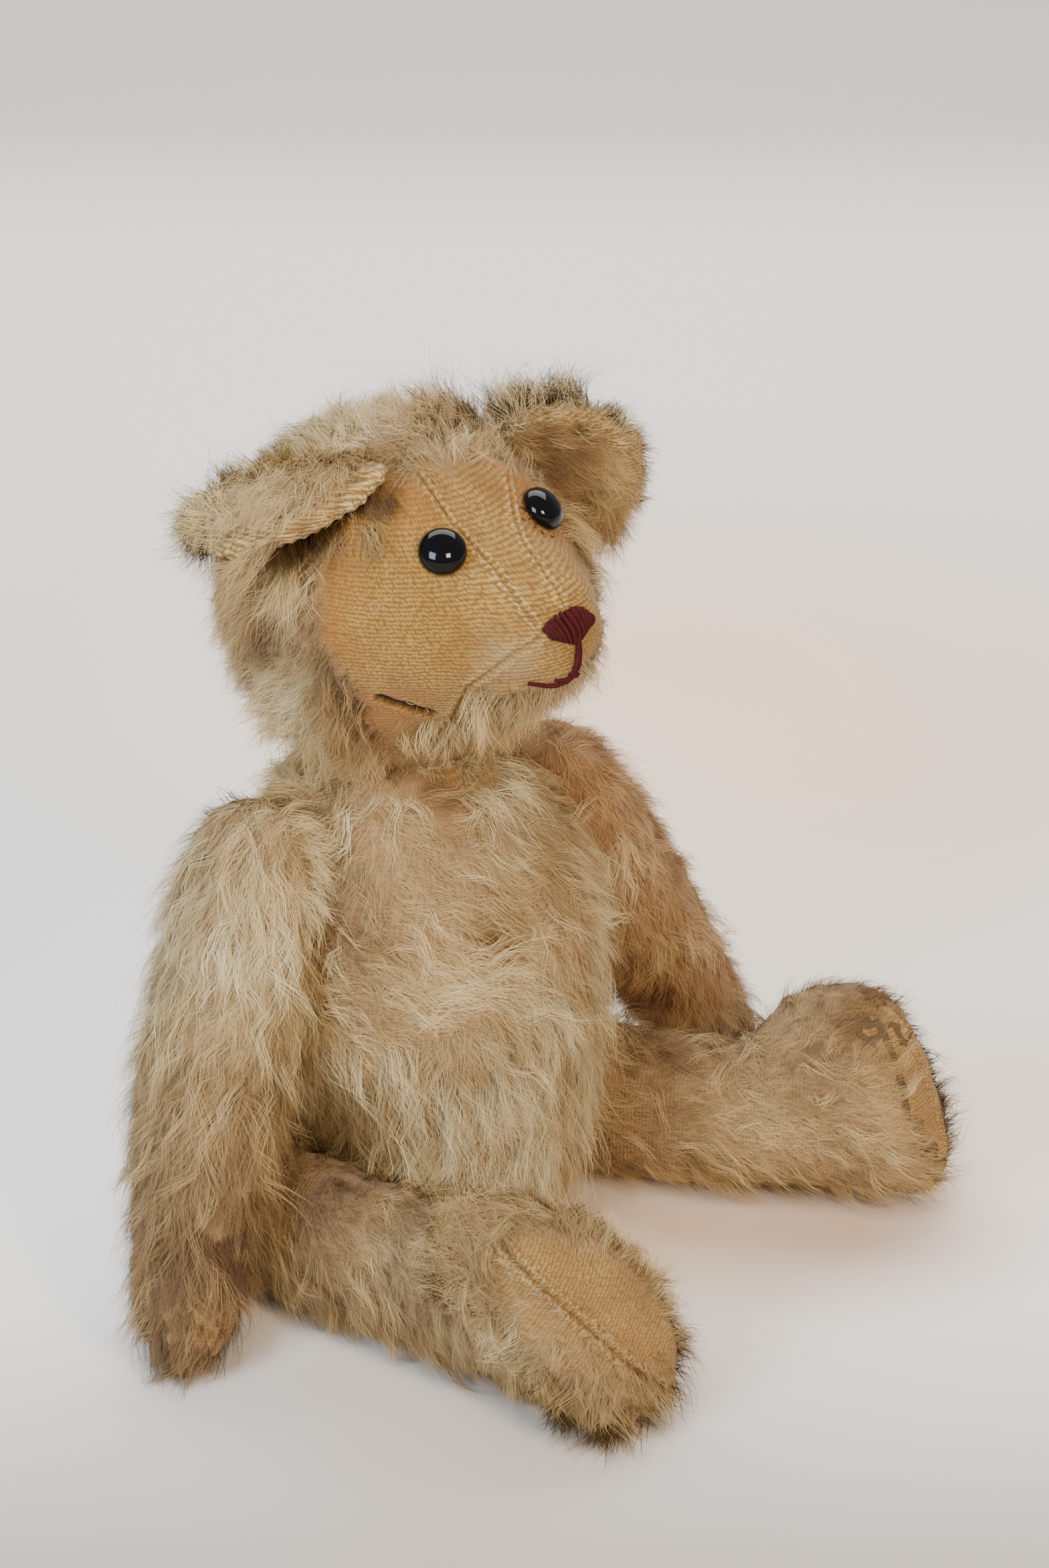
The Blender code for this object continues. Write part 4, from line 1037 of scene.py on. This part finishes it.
EDGE_TUFTS = tuple(
    (round_sole(a, 25.5, 14.5, 5), 3.0, 0.9, off_sole(a, 0.9, 1, -0.15),
     8.5 - 3.0 * math.sin(a) + 1.5 * math.cos(a), 0.62 + 0.06 * math.sin(a))
    for a in np.radians(range(-112, 160, 16)))
INSTEP_TUFTS = tuple(
    (round_sole(a, 29.0, 14.0, deep), 4.0, 1.6, off_sole(a, 0.9, 0.9, 0.25), 9, 0.50)
    for deep in (9, 16) for a in np.radians(range(150, 262, 18)))
TUFTS = {  # skin: (frame, lift in degrees, rows of (place, reach in mm, share, way, length in mm, tone))
    "head": (HEAD, 48, (
        ((-32.6, -4.9, 49.5), 4.0, 1.0, (-0.25, -1, 0), 12, 0.72),
        # Painted shade: this darker tuft sits in the shadow under the right ear.
        ((-34.4, -2.3, 45.0), 4.5, 0.6, (-0.2, -1, 0), 12, 0.30),
        ((-31.2, -7.8, 52.8), 3.0, 0.8, (0.0, -1, 0.2), 11, 0.75),
        ((-33.2, 5.0, 47.1), 4.5, 1.0, (-0.5, -1, 0), 14, 0.66),
        ((-19.2, -16.1, 64.1), 2.4, 1.0, (0.5, -0.9, 0.3), 6, 0.15),
        ((-21.5, -19.0, 60.5), 2.2, 0.8, (0.3, -1, 0.2), 7, 0.3),
        ((-25.7, -13.5, 59.0), 2.6, 1.0, (0.2, -1, 0.2), 7, 0.2),
        ((-16.0, -16.0, 66.5), 2.4, 0.8, (0.3, -0.5, 0.4), 6, 0.15),
        ((20.0, -33.0, 50.0), 3.0, 0.8, (0.8, -0.5, 0), 9, 0.55),
        ((22.0, -30.0, 45.0), 4.0, 1.0, (0.6, -0.8, 0), 11, 0.75),
        ((-7.7, -47.0, 28.0), 2.5, 0.7, (0.1, -1, 0), 8, 0.3),
        ((-2.5, -47.5, 26.0), 3.0, 1.0, (0.2, -1, 0), 9, 0.3),
        ((-6.0, -38.0, 20.5), 4.0, 1.2, (0, -1, 0), 11, 0.5),
        ((-17.0, -30.0, 19.0), 3.0, 0.6, (0, -1, 0.2), 7, 0.75),
        ((-19.0, -25.0, 15.0), 3.0, 0.6, (0, -1, 0.2), 6, 0.6),
        ((-13.0, -28.0, 14.0), 3.0, 0.6, (0, -1, 0.2), 7, 0.8),
        ((-14.5, -41.5, 29.5), 1.2, 0.34, (0, -1, 0.1), 13, 0.66),
        ((-31.8, -15.7, 26.8), 4.0, 1.2, (-0.2, -1, 0), 9, 0.5),
        ((-27.0, -13.4, 16.8), 4.5, 1.4, (-0.1, -1, 0), 10, 0.42),
        ((-5.7, -12.9, 71.0), 4.0, 1.0, (-0.3, 0.8, 0.3), 9, 0.42),
        ((4.0, -10.0, 71.5), 4.5, 2.6, (0.0, 1, 0.2), 14, 0.5),
        ((12.0, -7.0, 70.0), 4.0, 3.4, (-0.1, 1, 0), 15, 0.5),
        ((18.0, -8.0, 67.5), 3.5, 2.4, (0.0, 1, 0), 14, 0.42),
        ((-4.0, 2.0, 72.5), 6.0, 1.6, (-0.2, 1, 0), 9, 0.7),
        ((-24.5, -2.0, 10.7), 5.0, 1.4, (-0.6, -0.8, 0), 12, 0.6),
        ((-31.0, -1.0, 19.0), 5.0, 1.4, (-0.9, -0.6, 0), 12, 0.7),
        ((-27.0, 6.0, 14.0), 5.0, 1.4, (-0.8, -0.6, 0), 12, 0.6))),
    "left_ear": (HEAD, 70, (
        ((23.0, -9.5, 71.0), 3.5, 4.4, (-0.25, 1, -0.25), 16, 0.74),
        ((32.0, -9.0, 70.5), 4.0, 3.6, (0.0, 1, -0.1), 13, 0.8),
        ((40.0, -9.0, 69.0), 4.0, 3.6, (0.0, 1, -0.1), 14, 0.82),
        ((46.0, -10.0, 66.5), 3.0, 4.4, (0.15, 1, -0.25), 18, 0.78),
        ((52.0, -14.0, 62.0), 3.5, 1.2, (0.6, 0.7, 0), 8, 0.8),
        ((55.0, -12.0, 50.0), 4.0, 0.7, (0.8, -0.4, 0), 8, 0.6),
        ((46.0, -17.0, 42.0), 4.0, 1.0, (0.1, -1, 0), 10, 0.4))),
    "right_ear": (HEAD, 50, (
        ((-41, -8, 59.5), 3.5, 1.2, (-1, -0.25, 0), 15, 0.7),
        ((-38, 4, 62), 5.0, 1.2, (-0.8, 0.5, 0), 12, 0.75),
        ((-30, 8, 67), 6.0, 1.2, (-0.4, 0.9, 0), 11, 0.7),
        ((-20, 0, 71), 5.0, 1.0, (-0.2, 1, 0), 8, 0.75))),
    "right_leg": (WORLD, 25, EDGE_TUFTS + INSTEP_TUFTS + (
        ((-36.0, -71.0, 9.0), 3.0, 1.2, (-0.2, -1, 0), 9, 0.6),
        ((-30.0, -82.0, 8.0), 3.0, 2.0, (-0.3, -0.3, 1), 13, 0.75),
        ((-24.0, -89.0, 6.0), 3.0, 2.4, (-0.2, -0.3, 1), 15, 0.7),
        ((-16.0, -95.0, 5.0), 3.0, 1.6, (0.1, -0.3, 1), 11, 0.7))),
    "left_arm": (WORLD, 45, (
        ((68.0, 4.0, 37.0), 3.5, 2.0, (-0.8, -0.5, 0), 9, 0.2),
        ((65.0, 1.0, 46.0), 3.5, 1.5, (-0.8, -0.5, 0), 8, 0.2))),
    "right_arm": (WORLD, 45, (
        ((-37.5, -1.2, 109.0), 2.5, 1.0, (0.9, 0.5, 0), 8, 0.9),
        ((-37.5, -5.0, 106.0), 2.0, 1.0, (1, 0.1, 0), 8, 0.95),
        ((-36.6, -6.6, 101.0), 2.0, 1.2, (1, -0.3, 0), 8, 0.95),
        ((-38.5, -8.6, 96.5), 2.5, 1.0, (0.8, -0.8, 0), 9, 0.9),
        ((-79.0, -18.0, 7.5), 4.0, 0.6, (-0.1, -1, 0.3), 7, 0.4))),
    "body": (WORLD, 40, (
        ((3.0, -12.0, 107.5), 3.0, 0.7, (0.1, -1, 0), 12, 0.95),
        ((12.0, -9.0, 108.0), 4.0, 1.0, (0.4, -1, 0), 11, 0.85),
        ((-17.0, -3.0, 108.0), 5.0, 1.0, (0.2, -1, 0), 9, 0.5),
        ((-14.0, 0.0, 111.5), 3.5, 1.2, (-0.2, 1, 0.4), 8, 0.4),
        ((-20.0, 6.0, 111.0), 4.5, 1.2, (-0.4, 1, 0.2), 9, 0.6),
        ((16.0, -6.5, 108.0), 3.5, 1.2, (0.2, 0.8, 0.4), 8, 0.6),
        ((23.0, 1.0, 107.0), 4.0, 1.2, (0.4, 0.8, 0.2), 8, 0.6),
        ((-26.0, 12.0, 107.0), 5.0, 1.4, (-0.8, 0.7, 0), 11, 0.7),
        ((-3.0, -3.0, 112.0), 4.0, 1.6, (0.0, 1, 0.5), 4, 0.62),
        ((6.0, -4.0, 112.0), 4.0, 1.6, (0.0, 1, 0.5), 4, 0.7))),
}
TUFT_WISPS = 24                    # on a tuft whose share is 1


def tuft(skin, seed):
    """All the tufts of one skin as one mesh; each wisp takes after the row that is nearest."""
    local, lift, rows = TUFTS[skin]
    places = np.array([local.back(row[0]) for row in rows])
    reach = np.array([row[1] for row in rows]) * MM
    share = np.array([row[2] for row in rows])
    ways = np.array([np.array(row[3]) @ np.array((ASIDE, UP, FRONT)) for row in rows])
    lengths, tones = np.array([row[4] for row in rows]), np.array([row[5] for row in rows])

    def far(p):
        return np.linalg.norm(p[:, None] - places, axis=2) / reach

    def which(p):
        return far(p).argmin(1)

    return grow(f"{skin}_tufts", skin, skins[skin], lambda p: ways[which(p)] + 0.5 * swirl_small(p),
                lambda p: lengths[which(p)], seed, int(TUFT_WISPS * share.sum()), hairs=9, steps=3, lift=lift,
                tone=lambda p: tones[which(p)], wander=0.12, spread=0.8, lit=0.8,
                weight=lambda p: (share / reach ** 2 * np.exp(-far(p) ** 2)).max(1))


for seed, skin in enumerate(TUFTS):
    piles[f"{skin}_tufts"] = tuft(skin, 300 + seed)

# %% [markdown]
# ## Materials
# One cloth finish serves every skin: straw-coloured weave where it is bare, and the matted roots of
# the pile elsewhere, in browns kept darker as painted shade between the hairs. It reads the worn values
# of each place, with painted shade in the seams' valleys and painted highlights on their lips, and its
# weave follows a map in millimetres that each skin carries. The pile's finish reads the tone that each
# hair holds in its map and how far along the hair a place is, and runs from a dark root to a pale tip:
# the dark root is painted shade deep in the pile.

# %% A short way to write shaders


class Finish:
    """A Principled material, and short calls that add nodes to it."""

    def __init__(self, name, roughness, specular=0.3, sheen=0.0):
        self.mat = bpy.data.materials.new(name)
        self.mat.use_nodes = True
        self.tree = self.mat.node_tree
        self.out = self.tree.nodes["Principled BSDF"]
        self.out.inputs["Roughness"].default_value = roughness
        self.out.inputs["Specular IOR Level"].default_value = specular
        self.out.inputs["Sheen Weight"].default_value = sheen

    def feed(self, socket, value):
        """Link a socket, or set a plain number or colour on it."""
        if isinstance(value, bpy.types.NodeSocket):
            self.tree.links.new(value, socket)
        elif isinstance(value, tuple) and len(value) == 3 and socket.type == "RGBA":
            socket.default_value = (*value, 1)
        else:
            socket.default_value = value

    def node(self, kind, output=0, settings=None, **inputs):
        """Add a node and give one of its outputs; inputs are named, or numbered as _0, _1."""
        node = self.tree.nodes.new("ShaderNode" + kind)
        for key, value in (settings or {}).items():
            setattr(node, key, value)
        for key, value in inputs.items():
            self.feed(node.inputs[int(key[1:]) if key[0] == "_" else key.replace("_", " ")], value)
        return node.outputs[output]

    def sum(self, *terms):
        """Terms are (factor, value) pairs."""
        whole = 0.0
        for factor, value in terms:
            whole = self.node("Math", settings={"operation": "MULTIPLY_ADD"}, _0=value, _1=factor, _2=whole)
        return whole

    def sine(self, value):
        return self.node("Math", settings={"operation": "SINE"}, _0=value)

    def mix(self, factor, a, b, kind="MIX"):
        return self.node("Mix", 2, {"data_type": "RGBA", "blend_type": kind}, _0=factor, _6=a, _7=b)

    def noise(self, at, scale, detail=3.0, rough=0.5):
        return self.node("TexNoise", Vector=at, Scale=scale, Detail=detail, Roughness=rough)

    def value(self, name):
        return self.node("Attribute", 2, {"attribute_name": name})

    def ramp(self, factor, *stops):
        """Stops are (position, grey or colour) pairs."""
        out = self.node("ValToRGB", _0=factor)
        ramp = out.node.color_ramp
        while len(ramp.elements) < len(stops):
            ramp.elements.new(0.5)
        for element, (at, colour) in zip(ramp.elements, stops):
            element.position = at
            element.color = (*colour, 1) if isinstance(colour, tuple) else (colour, colour, colour, 1)
        return out

    def colour(self, value):
        self.feed(self.out.inputs["Base Color"], value)
        return self

    def bump(self, height, distance, strength=1.0):
        normal = self.node("Bump", Height=height, Distance=distance, Strength=strength)
        self.feed(self.out.inputs["Normal"], normal)
        return self


def srgb(*rgb):
    """Colour as seen, 0 to 255, to the linear values that a material holds."""
    return tuple(((v / 255 + 0.055) / 1.055) ** 2.4 if v > 10 else v / 255 / 12.92 for v in rgb)


# %% Cloth
ROW, KNOT = 0.85, 0.85             # height of a row of the knit and length of a stitch in it, in mm
cloth = Finish("plush_cloth", 0.95, 0.15, 0.1)
flat = cloth.node("Attribute", 1, {"attribute_name": "cloth"})
warp = cloth.node("TexNoise", 1, Vector=flat, Scale=0.3, Detail=3.0)
bent = cloth.node("VectorMath", settings={"operation": "MULTIPLY_ADD"}, _0=warp, _1=(0.8, 0.8, 0), _2=flat)
apart = cloth.node("SeparateXYZ", _0=bent).node
shear = cloth.sum((1 / KNOT, apart.outputs[0]), (0.5 / ROW, apart.outputs[1]))
grid = cloth.node("CombineXYZ", X=shear, Y=cloth.sum((1 / ROW, apart.outputs[1])))
stitch = cloth.node("TexVoronoi", settings={"voronoi_dimensions": "2D"}, Vector=grid, Scale=1.0,
                    Randomness=0.55)
row = cloth.sine(cloth.sum((2 * math.pi / ROW, apart.outputs[1])))
ragged = cloth.noise(bent, 1.1, 4.0, 0.65)
weave = cloth.sum((0.12, row), (-0.9, stitch), (1.15, ragged))
pits = cloth.node("TexVoronoi", Vector=bent, Scale=0.5, Randomness=0.55)
patches = cloth.noise(flat, 0.09)
pit = cloth.mix(cloth.ramp(cloth.noise(flat, 0.14), (0.4, 0.0), (0.6, 1.0)), (0.0, 0.0, 0.0),
                cloth.ramp(pits, (0.0, 1.0), (0.3, 0.0)))
matted = cloth.noise(cloth.node("VectorMath", settings={"operation": "MULTIPLY"}, _0=flat, _1=(1.6, 0.35, 1)),
                     0.8, 4.0, 0.7)
straw = cloth.mix(cloth.ramp(patches, (0.35, 0.0), (0.65, 1.0)), srgb(178, 147, 82), srgb(150, 115, 56))
blotch = cloth.ramp(cloth.noise(flat, 0.3, 4.0, 0.65), (0.38, 0.0), (0.68, 0.5))
straw = cloth.mix(blotch, straw, srgb(134, 102, 56))
# Painted highlight: paler on the lips of the seams and on the ears' bald rims.
straw = cloth.mix(cloth.value("ridge_highlight"), straw, srgb(206, 182, 126))
straw = cloth.mix(cloth.ramp(weave, (0.0, 0.85), (0.5, 0.0)), straw, srgb(112, 77, 36))
straw = cloth.mix(cloth.sum((0.4, pit)), straw, srgb(125, 80, 44))
straw = cloth.mix(cloth.sum((0.6, cloth.value("stain"))), straw, srgb(150, 92, 38))
straw = cloth.mix(cloth.value("grime"), straw, srgb(152, 137, 106))
# Under the pile, the matted roots, in browns kept darker as painted shade between the hairs.
roots = cloth.mix(cloth.ramp(matted, (0.35, 0.0), (0.65, 1.0)), srgb(127, 99, 66), srgb(180, 150, 106))
# They darken further with browning, which also holds the pile's painted shade.
roots = cloth.mix(cloth.sum((0.85, cloth.value("brown"))), roots, srgb(104, 80, 56))
roots = cloth.mix(cloth.sum((0.45, cloth.value("stain"))), roots, srgb(152, 91, 48))
# Painted shade: dark in the seams' valleys and down in the tear.
cloth.colour(cloth.mix(cloth.value("dark"), cloth.mix(cloth.value("bare"), roots, straw), srgb(34, 21, 15)))
cloth.bump(cloth.sum((1.0, weave), (-0.6, pit), (0.6, matted)), 0.3 * MM)
print("cloth finish:", len(cloth.tree.nodes), "nodes")


# %% Pile
def pile_finish(name, *tones):
    """Hair of these tones, darker at its root."""
    finish = Finish(name, 0.6, 0.25)
    strand = finish.node("SeparateXYZ", _0=finish.node("UVMap", settings={"uv_map": "OFBake"})).node
    shade = finish.ramp(strand.outputs[0], *tones)
    # Painted shade: each hair darkens towards its root, deep in the pile.
    along = finish.ramp(strand.outputs[1], (0.0, 0.5), (0.4, 0.88), (1.0, 1.0))
    finish.colour(finish.mix(1.0, shade, along, "MULTIPLY"))
    return finish.mat


pale = pile_finish("mohair_pale", (0.0, srgb(84, 61, 42)), (0.3, srgb(135, 104, 68)),
                   (0.55, srgb(182, 152, 103)), (0.8, srgb(213, 186, 135)), (1.0, srgb(234, 217, 173)))
rusty = pile_finish("mohair_rusty", (0.0, srgb(88, 58, 42)), (0.3, srgb(150, 108, 72)),
                    (0.55, srgb(198, 158, 108)), (0.8, srgb(228, 196, 146)), (1.0, srgb(244, 224, 180)))

# %% Button, yarn and the hidden pieces
button = Finish("black_button_gloss", 0.06, 0.3)
button.colour(srgb(6, 6, 9))
linen = Finish("linen_thread", 0.9, 0.15)
linen.colour(srgb(176, 140, 86))
umber = Finish("dark_thread", 0.9, 0.15)
umber.colour(srgb(70, 48, 34))
red = Finish("red_wool_yarn", 0.9, 0.15)
twist = red.noise(red.node("TexCoord", 3), 900.0)
red.colour(red.mix(twist, srgb(40, 12, 15), srgb(80, 26, 29))).bump(twist, 0.12 * MM)
card = Finish("brown_card", 0.85)
card.colour(card.mix(card.noise(card.node("TexCoord", 3), 160.0), srgb(132, 100, 66), srgb(112, 84, 56)))
steel = Finish("dull_wire", 0.4)
steel.out.inputs["Metallic"].default_value = 1.0
steel.colour(srgb(150, 146, 140))
shavings = Finish("wood_wool_shavings", 0.9)
curls = shavings.noise(shavings.node("TexCoord", 3), 300.0)
shavings.colour(shavings.mix(curls, srgb(196, 156, 98), srgb(150, 110, 62))).bump(curls, 0.8 * MM)

HIDDEN = {"wood_wool": shavings, "pressed_card": card, "dull_steel": steel}
SLOT_OF = {entry["node"]: entry["material_slot"] for entry in frame["record"]["subparts"]}
for name, node in nodes.items():
    if SLOT_OF[name] in HIDDEN:
        node.data.materials.clear()
        node.data.materials.append(HIDDEN[SLOT_OF[name]].mat)
print(sum(SLOT_OF[name] in HIDDEN for name in nodes), "hidden pieces keep their packed shape")

# %% [markdown]
# ## Put it together
# Every piece rides on the body that it belongs to, and stands in for the imported one.

# %% Ride and replace
for name, skin in skins.items():
    skin.data.materials.clear()
    skin.data.materials.append(cloth.mat)
    ear = name.endswith("ear")
    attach(skin, "head" if ear else name)
    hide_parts(name if ear else f"{name}_cover")
for name, pile in piles.items():
    skin = name.rsplit("_", 1)[0]
    pile.data.materials.append(rusty if skin == "left_arm" else pale)
    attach(pile, "head" if skin.endswith("ear") else skin)
for side, eye in eyes.items():
    eye.data.materials.append(button.mat)
    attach(eye, "head")
    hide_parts(f"{side}_eye")
for obj, node in ((nose, "nose_stitching"), (lip, "lip_stitch"), (right_mouth, "right_mouth_stitch"),
                  (left_mouth, "left_mouth_stitch")):
    obj.data.materials.append(red.mat)
    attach(obj, "head")
    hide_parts(node)

for obj, body, finish in ((tear_threads, "head", linen), (eye_threads, "head", umber),
                          (sole_stitches, "right_leg", linen)):
    obj.data.materials.append(finish.mat)
    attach(obj, body)
print(len(skins), "skins,", len(piles), "meshes of hair")

# %% [markdown]
# ## Backdrop, light and camera
# The bear sits on pale paper that reaches far behind it. Shade is painted into its colour: greyer far
# behind and towards the front edge, with painted shadows round the bear, warm on its left side and
# between the legs, grey by the right foot and cool behind it. A cool window light comes from the left
# and a warmer one from the right, both broad and soft, a wide one hangs over the paper behind it, and a
# soft pool of light fills its front.

# %% Floor
FLOOR_SIZE = 12.0                   # in metres, so that its edge lies far behind every view
bpy.ops.object.select_all(action="DESELECT")
bpy.ops.mesh.primitive_plane_add(size=FLOOR_SIZE)
floor = bpy.context.active_object
floor.name = "paper_floor"
paper = Finish("paper", 0.95, 0.1)
where = paper.node("TexCoord", 3)
forward = paper.node("VectorMath", 1, {"operation": "DOT_PRODUCT"}, _0=where, _1=tuple(FRONT))
# Painted shade: the paper greys towards the front edge and a little far behind.
paper_and_painted_shade = paper.ramp(paper.sum((0.5, forward), (1.0, 0.5)), (0.0, srgb(214, 206, 202)),
                        (0.1, srgb(250, 247, 245)), (0.515, srgb(252, 249, 247)),
                        (0.57, srgb(186, 178, 172)), (1.0, srgb(186, 178, 172)))
# Painted shadows: warm ones on the bear's left and between its legs, grey ones by the right foot, a cool one
# behind it.
PAINTED_FLOOR_SHADOWS = (  # place on the paper, reach, share, colour: it is warmer and greyer round the bear
    ((0.115, 0.05, 0), 0.12, 0.5, srgb(252, 236, 214)),
    ((0.28, 0.23, 0), 0.24, 0.75, srgb(255, 218, 180)),
    ((0.24, 0.13, 0), 0.15, 0.55, srgb(255, 222, 190)),
    ((0.14, -0.06, 0), 0.09, 0.7, srgb(244, 218, 196)),
    ((0.04, -0.034, 0), 0.045, 0.8, srgb(206, 166, 120)),
    ((0.072, -0.06, 0), 0.045, 0.8, srgb(200, 160, 120)),
    ((-0.056, -0.034, 0), 0.05, 0.4, srgb(196, 184, 178)),
    ((-0.05, -0.085, 0), 0.06, 0.4, srgb(206, 188, 176)),
    ((0.05, -0.07, 0), 0.09, 0.35, srgb(226, 208, 192)),
    ((-0.02, 0.26, 0), 0.13, 0.3, srgb(214, 220, 226)),
)
for place, reach, share, tint in PAINTED_FLOOR_SHADOWS:
    near = paper.node("VectorMath", 1, {"operation": "DISTANCE"}, _0=where, _1=place)
    paper_and_painted_shade = paper.mix(paper.ramp(near, (0.0, share), (reach, 0.0)), paper_and_painted_shade, tint)
paper.colour(paper_and_painted_shade)
floor.data.materials.append(paper.mat)
floor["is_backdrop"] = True
print("floor", FLOOR_SIZE, "m wide with", len(PAINTED_FLOOR_SHADOWS), "soft painted_shadows")


# %% Lights
def area(name, place, target, size, power, colour):
    """A soft rectangle of light at a place, turned to its target, with its power in watts."""
    data = bpy.data.lights.new(name, "AREA")
    data.shape = "RECTANGLE"
    data.size, data.size_y = size
    data.energy = power
    data.color = colour
    light = bpy.data.objects.new(name, data)
    bpy.context.scene.collection.objects.link(light)
    light.location = place
    light.rotation_mode = "QUATERNION"
    light.rotation_quaternion = (Vector(target) - Vector(place)).to_track_quat("-Z", "Y")
    return light


AIM = (0.0, 0.0, 0.09)


def around(turn, height, distance):
    """A place seen from the camera's side: turn in degrees to the right of it."""
    a = VIEW_TURN + math.radians(turn)
    return Vector((math.sin(a), -math.cos(a), 0)) * distance + Vector((0, 0, height))


area("window", around(-34, 0.46, 0.95), AIM, (0.45, 0.45), 11.0, (0.74, 0.87, 1.0))
area("lamp", around(27, 0.54, 0.95), AIM, (0.25, 0.25), 10.0, (1.0, 0.78, 0.52))
area("ceiling", around(180, 1.3, 0.9), around(180, 0, 1.0), (1.8, 1.2), 34.0, (1.0, 0.98, 0.96))
pool_data = bpy.data.lights.new("pool", "SPOT")
pool_data.energy, pool_data.spot_size, pool_data.spot_blend = 24.0, math.radians(34), 1.0
pool_data.shadow_soft_size, pool_data.color = 0.22, (1.0, 0.98, 0.95)
pool = bpy.data.objects.new("pool", pool_data)
bpy.context.scene.collection.objects.link(pool)
pool.location = around(-12, 0.95, 0.5)
pool.visible_glossy = False
pool.rotation_mode = "QUATERNION"
pool.rotation_quaternion = (Vector((0, 0, 0.12)) - pool.location).to_track_quat("-Z", "Y")
world = bpy.data.worlds.new("room")
world.use_nodes = True
world.node_tree.nodes["Background"].inputs[0].default_value = (0.93, 0.95, 1.0, 1)
world.node_tree.nodes["Background"].inputs[1].default_value = 0.35
bpy.context.scene.world = world
print([light.name for light in bpy.data.lights])

# %% Camera
CAMERA_RISE, CAMERA_FAR = math.radians(23), 0.9     # how steeply it looks down, and from how many metres
LENS_PER_FRAME = 6300 / 2343                        # length of the lens as a share of the frame's height
SENSOR_HEIGHT = 36
target = Vector((0.018, -0.01, 0.106))
camera_data = bpy.data.cameras.new("camera")
camera_data.sensor_fit = "VERTICAL"
camera_data.sensor_height = SENSOR_HEIGHT
camera_data.lens = SENSOR_HEIGHT * LENS_PER_FRAME
camera_data.clip_start = 0.05
camera = bpy.data.objects.new("camera", camera_data)
bpy.context.scene.collection.objects.link(camera)
toward = Vector(FRONT) * math.cos(CAMERA_RISE) + Vector((0, 0, math.sin(CAMERA_RISE)))
camera.location = target + toward * CAMERA_FAR
camera.rotation_mode = "QUATERNION"
camera.rotation_quaternion = (-toward).to_track_quat("-Z", "Y")
bpy.context.scene.camera = camera
print("camera at", [round(v, 2) for v in camera.location])

# %% Finish
low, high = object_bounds()
print("shown", [round(v / MM) for v in high - low], "mm")
